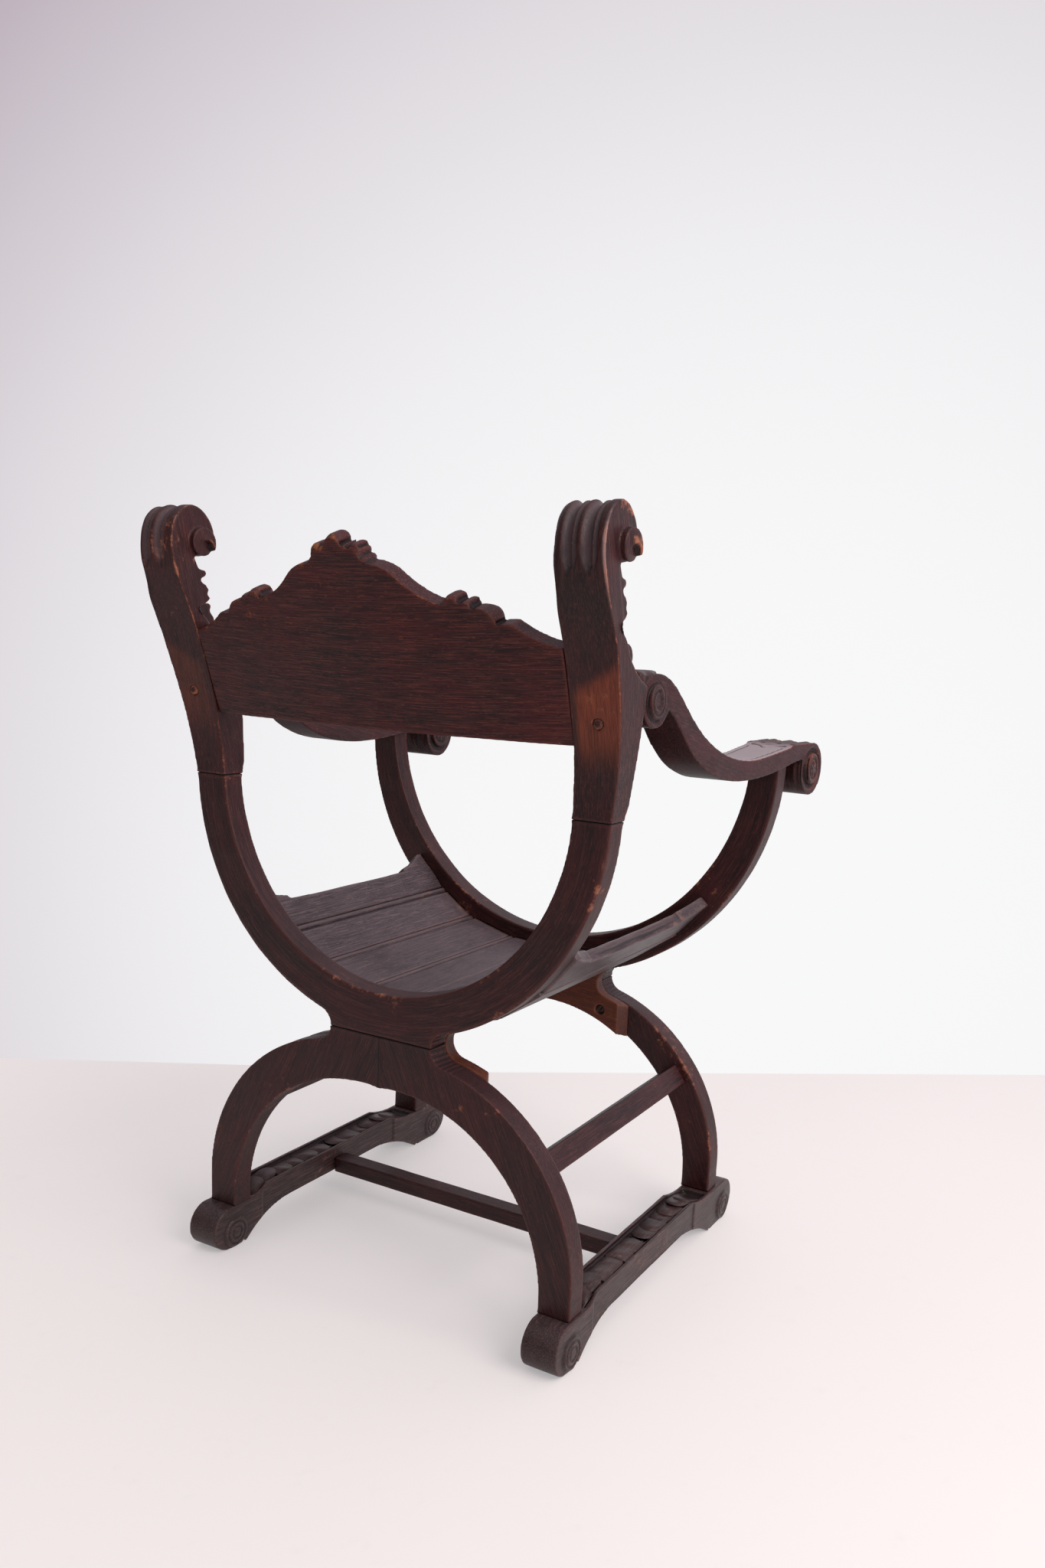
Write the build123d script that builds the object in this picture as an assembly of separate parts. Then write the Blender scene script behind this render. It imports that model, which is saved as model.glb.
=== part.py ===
from build123d import *

# Oak armchair of the Savonarola pattern. Two X-shaped frames, each a pair of arched legs under a
# round bowl, stand on two carved runners. They carry a curved slatted seat, a raked and bowed back
# panel between scrolled posts, and two scrolled arms. Every joint is glued and pegged: nothing moves.
# Millimetres, +Z up. The chair faces -Y, x = 0 is its plane of symmetry and z = 0 is the floor.
# While it is modelled, y = 0 lies midway between the rear faces of the two frames.
# Left and right are the sitter's: left is +X.

import os
from math import cos, radians, sin, sqrt

# ---- The two frames ------------------------------------------------------------------------
frame_thickness = 31.0
frame_spacing = 402.0            # rear face of the front frame to rear face of the back frame
waist_fillet = 20.0              # radius of the crotch between arch and bowl

arch_outer_radius = 231.0
arch_outer_offset = 43.0         # centre of the outer arc, away from x = 0
arch_outer_height = 93.0         # centre of the outer arc, above the floor
leg_width = 42.0
back_arch_inner_offset = 25.0
back_arch_inner_height = 69.0
front_arch_inner_offset = 11.0
front_arch_inner_height = 75.0

back_bowl_radius = 292.6
back_waist_gap = 23.94            # bottom of the bowl above the point where the arch's two arcs meet
back_bowl_band = 47.0
back_bowl_inner_lift = 1.5       # how far the inner circle's centre lies above the outer one's
back_bowl_top = 628.0
front_bowl_radius = 328.9
front_waist_gap = 16.74
front_bowl_band = 39.9
front_bowl_inner_lift = 12.4

# ---- Runners -------------------------------------------------------------------------------
runner_width = 46.5
runner_overhang = 3.9            # beyond the outer face of the leg
runner_leg_height = 58.0         # top of the runner under the legs
runner_middle_height = 68.0
runner_arch_height = 33.0
runner_rear_reach = 22.0         # roll centre behind the middle of the back leg
runner_front_reach = 37.0        # roll centre ahead of the middle of the front leg
runner_boss_radius = 19.0
runner_boss_height = 21.5        # centre of the bosses, above the floor
runner_boss_proud = 3.0
runner_rear_boss_inset = 9.0     # boss centre inside the centre of its roll
runner_front_boss_inset = 4.5
runner_channel_width = 33.0
runner_channel_depth = 6.0
runner_channel_margin = 6.0      # border left at each end of the sunk top
runner_rear_sweep = 87.0         # length of the arch's curve behind its level middle
runner_front_sweep = 113.0
runner_rear_cove = 24.0          # length of the hollow that climbs from the leg to the middle
runner_front_cove = 55.0
runner_cove_margin = 7.0
rear_sole_length = 30.0
front_sole_length = 51.0
sole_notch = 5.0

# ---- Back posts and panel --------------------------------------------------------------------
post_width = 62.4
post_inner_x = 248.6
post_flare_sag = 2.8             # how far the outer edge of the post swells beyond a straight line
# Outline of the post from the side: y behind the rear face of the back frame, and z
post_rear_edge = [(1.8, 655), (9, 700), (25.5, 760), (48, 820)]
post_scroll = [(67.5, 860), (78.5, 897), (69, 934), (46, 946.5), (23, 937), (11, 912), (16, 896),
               (30, 889.5)]
post_curl = [(42, 890), (48, 884)]            # under the rolled top
post_front_edge = [(35.5, 846), (10, 800), (-16, 779)]      # down to the arm
post_apex_z = 770.0
scroll_centre = (45.0, 912.0)
volute_ahead = 10.0              # centre of the volute ahead of the scroll's centre
volute_drop = 7.0                # and below it
volute_radius = 17.0
volute_proud = 11.0
reed_groove_width = 5.0
reed_groove_depth = 3.0
reed_groove_foot = 880.0
reed_groove_places = (0.355, 0.71)     # shares of the post's width
post_leaf_width = 34.0
post_leaf_lobes = [(36, 870, 10), (26, 847, 13), (10, 822, 15), (-8, 799, 14)]  # (y behind, z, radius)
arm_seat_proud = 5.0             # wedge that meets the arm, ahead of the frame's front face
arm_seat_run = 14.0              # height over which the wedge grows out of the frame

panel_bottom = 704.8
panel_behind = 5.5               # lower rear edge of its ends, behind the back frame
panel_rake = 19.6
panel_thickness = 22.0
panel_bow = 22.0                 # the middle of the panel lies this far behind its ends
panel_bottom_rise = 7.0
panel_end_height = 105.0
crest_height = 221.0             # middle of the crest, up the panel
crest_arcs = [                   # a point on each arc and its end: (x, drop below the crest's middle)
    ((8, 3), (11.5, 10.5)), ((15.5, 9), (17.5, 13)), ((28, 14), (32, 23.5)), ((35, 24), (35.5, 27.5)),
    ((56, 31), (74, 43)), ((96, 59.5), (122, 70)), ((131.5, 62), (141.5, 70)),
    ((149, 67.5), (155, 74)), ((171, 76.5), (181, 90.5))]
crest_step = 16.0                # level ledge between the last lobe and the end cove
crest_cove_sag = 3.4
panel_tenon_length = 44.0
panel_tenon_thickness = 12.0
panel_tenon_shoulder = 15.0
panel_tenon_root = 14.0
panel_peg_diameter = 11.0
panel_peg_length = 46.0
panel_peg_z = 731.0
panel_peg_behind = 18.0          # rear end of the peg, just proud of the post

# ---- Arms ----------------------------------------------------------------------------------
arm_front_outer_margin = 6.2     # outer face beyond the tip of the front bowl
arm_front_inner_margin = 17.6    # inner face beyond the tip of the front bowl, towards x = 0
arm_rear_outer_inset = 5.2       # outer face inside the post's outer face
arm_rear_inner_inset = 14.2      # inner face outside the post's inner face
arm_front_reach = 66.7           # centre of the front roll, ahead of the front frame
arm_front_height = 656.0
arm_front_core = 12.0
arm_front_radius = 36.0
arm_front_boss_radius = 22.0
arm_rear_height = 754.0
arm_rear_radius = 29.0
arm_rear_flat = 3.0              # how much of the rear scroll is cut away where it meets the post
arm_rear_boss_radius = 18.0
arm_boss_proud = 3.0
# Edges of the arm: share of the way from the front roll to the rear scroll, height over the line between them
arm_top_edge = [(0.92, 26.8), (0.813, 0.4), (0.701, -19.7), (0.591, -26.4), (0.449, -21.5), (0.303, -3.7),
                (0.157, 18.6)]
arm_under_edge = [(0.066, 6.6), (0.248, -20.8), (0.427, -44.8), (0.568, -55.7), (0.698, -54.4),
                  (0.81, -37.4), (0.927, -4.8)]
arm_dowel_length = 36.0
arm_front_dowel_drop = 12.0      # middle of the front dowel, below the top of the bowl's tip inside the arm

# ---- Seat ----------------------------------------------------------------------------------
# Joints between the top faces of the slats: x and height above the outer edge of the front bowl
slat_joints = [(0.0, 34.8), (69.0, 31.5), (140.0, 28.0), (191.0, 34.2)]
seat_edge = (234.5, 44.5)        # top of the ears of the outermost slats
slat_thickness = 16.0
slat_gap = 1.2
slat_ear_rise = 27.0             # ears above the scooped middle of the outermost slats
slat_ear_length = 60.0
slat_ear_tip = 10.0              # level tip of the ear, next to the frame
slat_ear_drop = 17.5             # from the tip down to the ledge at the ear's other end
slat_ear_step = 5.4              # upright step at that ledge
slat_ear_sag = 3.1
slat_scoop_sag = 2.2
slat_bead_width = 8.0
slat_bead_quirk = 1.6
slat_tongue_length = 8.0
slat_tongue_thickness = 7.0
slat_tongue_cover = 1.5          # wood over the tongue
slat_tongue_margin = 10.0

# ---- Cleats and stretchers -------------------------------------------------------------------
cleat_thickness = 18.0
cleat_half_length = 135.0
cleat_bevel = 10.0
cleat_headroom = 3.5             # under the middle slats
cleat_screw_places = [(45.0, 6.7), (97.0, 38.7)]    # (x, depth below the waist) on each side
screw_head_diameter = 9.0
screw_shank_diameter = 5.0
screw_length = 38.0
screw_recess_diameter = 14.0
screw_recess_depth = 5.0

side_stretcher_depth = 28.0      # across the legs, towards the middle of the arch
side_stretcher_width = 29.0
side_stretcher_inset = 10.6      # below the outer edge of the arch
side_stretcher_angle = 36.2      # above the horizontal, about the centre of the outer arc
cross_stretcher_y = -14.0
cross_stretcher_width = 26.0
cross_stretcher_height = 22.0
cross_stretcher_bottom = 31.0
stretcher_tenon_length = 16.0
stretcher_shoulder = 5.0
edge_softening = 2.0

# ---- Hidden joinery -------------------------------------------------------------------------
dowel_diameter = 10.0
dowel_length = 44.0
waist_dowel_place = 0.28         # share of the waist's half width
leg_tenon_width = 24.0
leg_tenon_thickness = 15.0
leg_tenon_length = 26.0
fit = 0.15                       # clearance all round a tenon, tongue, dowel or peg

# ---- Values that follow ----------------------------------------------------------------------
back_rear_y = frame_spacing / 2
front_rear_y = -frame_spacing / 2
back_front_y = back_rear_y - frame_thickness
front_front_y = front_rear_y - frame_thickness
leg_outer_x = arch_outer_offset + arch_outer_radius
leg_inner_x = leg_outer_x - leg_width
leg_middle_x = leg_outer_x - leg_width / 2
runner_outer_x = leg_outer_x + runner_overhang
runner_inner_x = runner_outer_x - runner_width
post_outer_x = post_inner_x + post_width
arch_meeting_z = arch_outer_height + sqrt(arch_outer_radius ** 2 - arch_outer_offset ** 2)
back_bowl_height = arch_meeting_z + back_waist_gap + back_bowl_radius
front_bowl_height = arch_meeting_z + front_waist_gap + front_bowl_radius
arm_wall_y = back_front_y - arm_seat_proud
arm_rear_y = arm_wall_y - arm_rear_radius + arm_rear_flat
arm_front_y = front_front_y - arm_front_reach
far = 1200.0                     # longer than the chair, for cutting solids


# ---- Small tools -----------------------------------------------------------------------------
def arc(centre, start, end):
    """An arc of less than half a turn about a centre."""
    c, s, e = Vector(*centre), Vector(*start), Vector(*end)
    middle = c + ((s - c) + (e - c)).normalized() * (s - c).length
    return ThreePointArc(s, middle, e)


def bowed(start, end, sag):
    """An arc between two points whose middle lies so far to the right of the straight line."""
    s, e = Vector(*start), Vector(*end)
    unit = (e - s).normalized()
    return ThreePointArc(s, (s + e) / 2 + Vector(unit.Y, -unit.X) * sag, e)


def outline(*edges):
    """The face inside a closed run of edges."""
    return make_face(Wire(list(edges)))


def polygon(*points):
    """The face inside straight edges."""
    return make_face(Wire(Polyline(*points, close=True).edges()))


def across(face, rear_y, thickness):
    """A face drawn in (x, z), given a thickness forward of rear_y."""
    return extrude(Pos(0, rear_y, 0) * (Plane.XZ * face), thickness)


def sideways(face, x_from, x_to):
    """A face drawn in (y, z), drawn out from one x to another."""
    return extrude(Pos(x_from, 0, 0) * (Plane.YZ * face), x_to - x_from)


def rod(place, direction, diameter, length):
    """A round rod that starts at a place."""
    return extrude(Plane(place, z_dir=direction) * Circle(diameter / 2), length)


def block(low, high):
    """A block between two corners."""
    size = Vector(*high) - Vector(*low)
    middle = (Vector(*high) + Vector(*low)) / 2
    return Pos(*middle) * Box(size.X, size.Y, size.Z)


def between(start, end, share):
    """A number so far of the way from one to another."""
    return start + (end - start) * share


def both_sides(piece):
    """A piece and its mirror image in the plane of symmetry."""
    return [piece, mirror(piece, Plane.YZ)]


def group(solids):
    """Several separate solids under one name."""
    return Compound([solid for piece in solids for solid in piece.solids()])


def cut(body, tools):
    """A body with each of the tools taken out of it."""
    for tool in tools:
        body = body - tool
    return body


# ---- Arches and bowls ---------------------------------------------------------------------------
class Frame:
    """The outline of one X-shaped frame, worked out from its circles."""

    def __init__(self, rear_y, arch_inner, bowl_radius, bowl_height, bowl_band, inner_lift, top):
        self.rear_y = rear_y
        self.front_y = rear_y - frame_thickness
        self.top = top
        self.arch_centre = Vector(arch_outer_offset, arch_outer_height)
        self.arch_inner_centre = Vector(*arch_inner)
        self.arch_inner_radius = leg_inner_x - arch_inner[0]
        self.bowl_centre = Vector(0, bowl_height)
        self.bowl_radius = bowl_radius
        self.inner_centre = Vector(0, bowl_height + inner_lift)
        self.inner_radius = bowl_radius - bowl_band
        self.crown = arch_inner[1] + sqrt(self.arch_inner_radius ** 2 - arch_inner[0] ** 2)
        self.fillet = self.waist_fillet_centre()
        self.waist_z = self.fillet.Y
        self.waist_x = self.fillet.X - waist_fillet

    def waist_fillet_centre(self):
        """Centre of the fillet that touches the arch and the bowl from outside."""
        to_arch = arch_outer_radius + waist_fillet
        to_bowl = self.bowl_radius + waist_fillet
        gap = self.bowl_centre - self.arch_centre
        along = (to_arch ** 2 - to_bowl ** 2 + gap.length ** 2) / (2 * gap.length)
        aside = sqrt(to_arch ** 2 - along ** 2)
        unit = gap.normalized()
        return self.arch_centre + unit * along + Vector(unit.Y, -unit.X) * aside

    def touch(self, centre, radius):
        """Where the waist fillet touches a circle."""
        return centre + (self.fillet - centre).normalized() * radius

    def bowl_x(self, z, inner=False):
        """Half width of the bowl at a height, outside or inside."""
        centre, radius = self.bowl_centre, self.bowl_radius
        if inner:
            centre, radius = self.inner_centre, self.inner_radius
        return sqrt(radius ** 2 - (z - centre.Y) ** 2)

    def bowl_edge_z(self, x):
        """Height of the bowl's outer edge under the seat."""
        return self.bowl_centre.Y - sqrt(self.bowl_radius ** 2 - x ** 2)

    def arch_half(self):
        """The left half of the arch, from the waist down to the runner."""
        waist = (self.waist_x, self.waist_z)
        touch = self.touch(self.arch_centre, arch_outer_radius)
        shoulder = (leg_outer_x, arch_outer_height)
        spring = (leg_inner_x, self.arch_inner_centre.Y)
        face = outline(
            Line((0, self.waist_z), waist),
            arc(self.fillet, waist, touch),
            arc(self.arch_centre, touch, shoulder),
            Line(shoulder, (leg_outer_x, runner_leg_height)),
            Line((leg_outer_x, runner_leg_height), (leg_inner_x, runner_leg_height)),
            Line((leg_inner_x, runner_leg_height), spring),
            arc(self.arch_inner_centre, spring, (0, self.crown)),
            Line((0, self.crown), (0, self.waist_z)),
        )
        return across(face, self.rear_y, frame_thickness)

    def bowl(self):
        """The whole bowl, from the waist up to both tips."""
        waist = (self.waist_x, self.waist_z)
        touch = self.touch(self.bowl_centre, self.bowl_radius)
        tip_outer = (self.bowl_x(self.top), self.top)
        tip_inner = (self.bowl_x(self.top, inner=True), self.top)
        bottom = (0, self.inner_centre.Y - self.inner_radius)
        half = outline(
            Line((0, self.waist_z), waist),
            arc(self.fillet, waist, touch),
            arc(self.bowl_centre, touch, tip_outer),
            Line(tip_outer, tip_inner),
            arc(self.inner_centre, tip_inner, bottom),
            Line(bottom, (0, self.waist_z)),
        )
        return across(half + mirror(half, Plane.YZ), self.rear_y, frame_thickness)

    def leg_tenon(self, spare=0.0):
        """Tenon under the leg, into the runner."""
        width = leg_tenon_width / 2 + spare
        depth = leg_tenon_thickness / 2 + spare
        y = self.rear_y - frame_thickness / 2
        low = (leg_middle_x - width, y - depth, runner_leg_height - leg_tenon_length - spare)
        return block(low, (leg_middle_x + width, y + depth, runner_leg_height))

    def waist_dowels(self, spare=0.0):
        """Upright dowels across the seam between arch and bowl."""
        y = self.rear_y - frame_thickness / 2
        start = self.waist_z - dowel_length / 2 - spare
        place = (self.waist_x * waist_dowel_place, y, start)
        return both_sides(rod(place, (0, 0, 1), dowel_diameter + 2 * spare, dowel_length + 2 * spare))

    def crown_dowel(self, spare=0.0):
        """Level dowel across the seam between the two halves of the arch."""
        y = self.rear_y - frame_thickness / 2
        z = self.crown + (self.waist_z - dowel_length / 2 - self.crown) / 2
        start = (-dowel_length / 2 - spare, y, z)
        return rod(start, (1, 0, 0), dowel_diameter + 2 * spare, dowel_length + 2 * spare)


def arm_line_z(y):
    """Height of the line between the centres of the arm's front roll and rear scroll."""
    share = (y - arm_front_y) / (arm_rear_y - arm_front_y)
    return between(arm_front_height, arm_rear_height, share)


front_bowl_top = arm_line_z(front_rear_y - frame_thickness / 2)      # inside the arm, which trims the tips
back = Frame(back_rear_y, (back_arch_inner_offset, back_arch_inner_height), back_bowl_radius,
             back_bowl_height, back_bowl_band, back_bowl_inner_lift, back_bowl_top)
front = Frame(front_rear_y, (front_arch_inner_offset, front_arch_inner_height), front_bowl_radius,
              front_bowl_height, front_bowl_band, front_bowl_inner_lift, front_bowl_top)


# ---- Runners --------------------------------------------------------------------------------
def runner_half():
    """The left runner: a rolled foot at each end, an arched underside and a sunk top."""
    rear_y = back_rear_y - frame_thickness / 2 + runner_rear_reach
    front_y = front_rear_y - frame_thickness / 2 - runner_front_reach
    roll = runner_leg_height / 2
    rear_foot = rear_y - rear_sole_length
    front_foot = front_y + front_sole_length
    rear_flat = rear_foot - runner_rear_sweep
    front_flat = front_foot + runner_front_sweep
    rear_low = back_front_y - runner_cove_margin
    front_low = front_rear_y + runner_cove_margin
    rear_high = rear_low - runner_rear_cove
    front_high = front_low + runner_front_cove
    side = outline(
        ThreePointArc((rear_y, 2 * roll), (rear_y + roll, roll), (rear_y, 0)),
        Line((rear_y, 0), (rear_foot, 0)),
        TangentArc((rear_flat, runner_arch_height), (rear_foot, 0), tangent=(1, 0)),
        Line((rear_flat, runner_arch_height), (front_flat, runner_arch_height)),
        TangentArc((front_flat, runner_arch_height), (front_foot, 0), tangent=(-1, 0)),
        Line((front_foot, 0), (front_y, 0)),
        ThreePointArc((front_y, 0), (front_y - roll, roll), (front_y, 2 * roll)),
        Line((front_y, 2 * roll), (front_low, 2 * roll)),
        TangentArc((front_low, 2 * roll), (front_high, runner_middle_height), tangent=(1, 0)),
        Line((front_high, runner_middle_height), (rear_high, runner_middle_height)),
        TangentArc((rear_low, 2 * roll), (rear_high, runner_middle_height), tangent=(-1, 0)),
        Line((rear_low, 2 * roll), (rear_y, 2 * roll)),
    )
    body = sideways(side, runner_inner_x, runner_outer_x)
    middle_x = runner_outer_x - runner_width / 2
    half_channel = runner_channel_width / 2
    channel = block((middle_x - half_channel, front_rear_y + runner_channel_margin, 0),
                    (middle_x + half_channel, back_front_y - runner_channel_margin, far))
    body -= channel - Pos(0, 0, -runner_channel_depth) * body
    for y in (rear_foot + sole_notch, front_foot - sole_notch):
        notch = polygon((y - sole_notch / 2, 0), (y, sole_notch), (y + sole_notch / 2, 0))
        body -= sideways(notch, runner_inner_x, runner_outer_x)
    for y in (rear_y - runner_rear_boss_inset, front_y + runner_front_boss_inset):
        place = (runner_inner_x - runner_boss_proud, y, runner_boss_height)
        length = runner_width + 2 * runner_boss_proud
        body += rod(place, (1, 0, 0), 2 * runner_boss_radius, length)
    return body


# ---- Back posts -----------------------------------------------------------------------------
def behind_frame(points):
    """Points (y, z) whose y is given behind the rear face of the back frame."""
    return [(back_rear_y + y, z) for y, z in points]


def post_side():
    """The post seen from the side: raked, rolled over at the top, with a wedge for the arm."""
    rear = [(back_rear_y, back_bowl_top)] + behind_frame(post_rear_edge) + behind_frame(post_scroll)
    curl_start, curl_end = behind_frame(post_curl)
    front_edge = [curl_end] + behind_frame(post_front_edge)
    apex = (arm_wall_y, post_apex_z)
    return outline(
        Spline(*rear),
        Line(rear[-1], curl_start),
        Line(curl_start, curl_end),
        Spline(*front_edge),
        Line(front_edge[-1], apex),
        Line(apex, (arm_wall_y, back_bowl_top + arm_seat_run)),
        Line((arm_wall_y, back_bowl_top + arm_seat_run), (back_front_y, back_bowl_top)),
        Line((back_front_y, back_bowl_top), rear[0]),
    )


def post_front():
    """The post seen from the front: it swells from the bowl's tip to its full width."""
    outer_foot = (back.bowl_x(back_bowl_top), back_bowl_top)
    inner_foot = (back.bowl_x(back_bowl_top, inner=True), back_bowl_top)
    outer_top = (post_outer_x, panel_bottom + panel_end_height)
    inner_knee = (post_inner_x, panel_bottom)
    return outline(
        bowed(outer_foot, outer_top, post_flare_sag),
        Line(outer_top, (post_outer_x, far)),
        Line((post_outer_x, far), (post_inner_x, far)),
        Line((post_inner_x, far), inner_knee),
        Line(inner_knee, inner_foot),
        Line(inner_foot, outer_foot),
    )


def reed_groove(x_from, x_to):
    """All that lies outside the scroll's core, above the foot of the grooves."""
    core = []
    centre = Vector(*behind_frame([scroll_centre])[0])
    for y, z in behind_frame(post_scroll):
        outward = Vector(y, z) - centre
        inner = Vector(y, z) - outward.normalized() * reed_groove_depth
        core.append((inner.X, inner.Y))
    foot = (core[-1][0], core[0][1])
    face = outline(Spline(*core), Line(core[-1], foot), Line(foot, core[0]))
    space = block((x_from, 0, reed_groove_foot), (x_to, far, far))
    return space - sideways(face, x_from, x_to)


def post():
    """The left back post with its scroll eye, reeds and the leaf on its front edge."""
    body = sideways(post_side(), 0, far) & across(post_front(), far, 2 * far)
    for share in reed_groove_places:
        x = post_inner_x + share * post_width
        body -= reed_groove(x - reed_groove_width / 2, x + reed_groove_width / 2)
    scroll_behind, scroll_z = scroll_centre
    eye = (post_inner_x - volute_proud, back_rear_y + scroll_behind - volute_ahead, scroll_z - volute_drop)
    body += rod(eye, (1, 0, 0), 2 * volute_radius, post_width + 2 * volute_proud)
    leaf_start = post_inner_x + (post_width - post_leaf_width) / 2
    for behind, z, radius in post_leaf_lobes:
        body += rod((leaf_start, back_rear_y + behind, z), (1, 0, 0), 2 * radius, post_leaf_width)
    return body


# ---- Back panel -----------------------------------------------------------------------------
panel_plane = Plane((0, back_rear_y + panel_behind, panel_bottom), x_dir=(1, 0, 0),
                    z_dir=(0, -cos(radians(panel_rake)), sin(radians(panel_rake))))


def crest_half():
    """Half of the crest, from the middle of the shell out to the post (x, height up the panel)."""
    edges = []
    start = (0, crest_height)
    for (through_x, through_drop), (end_x, end_drop) in crest_arcs:
        end = (end_x, crest_height - end_drop)
        edges.append(ThreePointArc(start, (through_x, crest_height - through_drop), end))
        start = end
    ledge_end = (start[0] + crest_step, start[1])
    edges.append(Line(start, ledge_end))
    edges.append(bowed(ledge_end, (post_inner_x, panel_end_height), crest_cove_sag))
    return edges


def panel():
    """The bowed back panel with its crest and a tenon at each end."""
    end = post_inner_x
    bottom_radius = (end ** 2 + panel_bottom_rise ** 2) / (2 * panel_bottom_rise)
    half = outline(
        *crest_half(),
        Line((end, panel_end_height), (end, 0)),
        arc((0, panel_bottom_rise - bottom_radius), (end, 0), (0, panel_bottom_rise)),
        Line((0, panel_bottom_rise), (0, crest_height)),
    )
    board = extrude(Pos(0, 0, -far / 2) * (half + mirror(half, Plane.YZ)), far)
    bend = outline(
        ThreePointArc((-end, 0), (0, -panel_bow), (end, 0)),
        Line((end, 0), (end, panel_thickness)),
        ThreePointArc((end, panel_thickness), (0, panel_thickness - panel_bow), (-end, panel_thickness)),
        Line((-end, panel_thickness), (-end, 0)),
    )
    bent = extrude(Pos(0, far / 2, 0) * (Plane.XZ * bend), far)
    body = (board & bent) + panel_tenons()
    return panel_plane.location * body


def panel_tenons(spare=0.0):
    """Both tenons of the panel, in the panel's own plane."""
    depth = (panel_thickness - panel_tenon_thickness) / 2
    low = (post_inner_x - panel_tenon_root, panel_tenon_shoulder - spare, depth - spare)
    high = (post_inner_x + panel_tenon_length + spare, panel_end_height - panel_tenon_shoulder + spare,
            panel_thickness - depth + spare)
    left = block(low, high)
    return left + mirror(left, Plane.YZ)


def panel_pegs(spare=0.0):
    """A peg through each post and tenon, just proud of the post's rear face."""
    place = (post_inner_x + post_width / 2, back_rear_y + panel_peg_behind, panel_peg_z)
    return both_sides(rod(place, (0, -1, 0), panel_peg_diameter + 2 * spare, panel_peg_length + spare))


# ---- Arms -----------------------------------------------------------------------------------
def arm_face_x(y, inner=False):
    """Where the arm's outer or inner face lies at y."""
    front_x = front.bowl_x(front_bowl_top) + arm_front_outer_margin
    rear_x = post_outer_x - arm_rear_outer_inset
    if inner:
        front_x = front.bowl_x(front_bowl_top, inner=True) - arm_front_inner_margin
        rear_x = post_inner_x + arm_rear_inner_inset
    frame_y = front_rear_y - frame_thickness / 2
    return between(front_x, rear_x, (y - frame_y) / (arm_wall_y - frame_y))


def arm_edge(points):
    """Points (y, z) along an edge of the arm."""
    edge = []
    for share, rise in points:
        y = between(arm_front_y, arm_rear_y, share)
        edge.append((y, arm_line_z(y) + rise))
    return edge


def arm():
    """The left arm: an S-shaped rail, rolled under at the front and scrolled at the post."""
    rear_centre = (arm_rear_y, arm_rear_height)
    front_centre = (arm_front_y, arm_front_height)
    rear_crest = (arm_rear_y, arm_rear_height + arm_rear_radius)
    front_crest = (arm_front_y, arm_front_height + arm_front_radius)
    front_root = (arm_front_y, arm_front_height + arm_front_core)
    top = [rear_crest] + arm_edge(arm_top_edge) + [front_crest]
    under = [front_root] + arm_edge(arm_under_edge) + [rear_centre]
    rail = outline(
        Spline(*top, tangents=[(-1, 0), (-1, 0)]),
        Line(top[-1], under[0]),
        Spline(*under),
        Line(under[-1], top[0]),
    )
    side = rail + Pos(*rear_centre) * Circle(arm_rear_radius)
    side += Pos(*front_centre) * Circle(arm_front_radius)
    front_end, rear_end = arm_front_y - 2 * arm_front_radius, arm_wall_y
    plan = polygon(
        (arm_face_x(rear_end), rear_end), (arm_face_x(front_end), front_end),
        (arm_face_x(front_end, inner=True), front_end), (arm_face_x(rear_end, inner=True), rear_end),
    )
    body = sideways(side, 0, far) & extrude(plan, far)
    for y, z, radius in ((rear_centre[0], rear_centre[1], arm_rear_boss_radius),
                         (front_centre[0], front_centre[1], arm_front_boss_radius)):
        start = arm_face_x(y, inner=True) - arm_boss_proud
        body += rod((start, y, z), (1, 0, 0), 2 * radius, arm_face_x(y) + arm_boss_proud - start)
    return body


def arm_front_dowel(spare=0.0):
    """Upright dowel from the tip of the front bowl into the arm."""
    x = (front.bowl_x(front_bowl_top) + front.bowl_x(front_bowl_top, inner=True)) / 2
    middle = front_bowl_top - arm_front_dowel_drop
    place = (x, front_rear_y - frame_thickness / 2, middle - arm_dowel_length / 2 - spare)
    return rod(place, (0, 0, 1), dowel_diameter + 2 * spare, arm_dowel_length + 2 * spare)


def arm_rear_dowels(spare=0.0):
    """Two level dowels from the arm into the post."""
    middle = (arm_face_x(arm_wall_y) + arm_face_x(arm_wall_y, inner=True)) / 2
    dowels = []
    for x in (middle - dowel_diameter, middle + dowel_diameter):
        place = (x, arm_wall_y - arm_dowel_length / 2 - spare, arm_rear_height)
        dowels.append(rod(place, (0, 1, 0), dowel_diameter + 2 * spare, arm_dowel_length + 2 * spare))
    return dowels


# ---- Seat -----------------------------------------------------------------------------------
def seat_point(place):
    """A point (x, z) on the seat's top from its x and its height above the front bowl's outer edge."""
    x, rise = place
    return Vector(x, front.bowl_edge_z(x) + rise)


def slat_frame(number):
    """Start, direction along the curve, upward normal and width of a left slat."""
    ends = slat_joints + [seat_edge]
    start, end = seat_point(ends[number]), seat_point(ends[number + 1])
    along = (end - start).normalized()
    return start, along, Vector(-along.Y, along.X), (end - start).length


def slat_point(number, along_slat, depth):
    """A point in (x, z), so far along a slat's top face and so deep under it."""
    start, along, up, _ = slat_frame(number)
    return start + along * along_slat - up * depth


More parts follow.
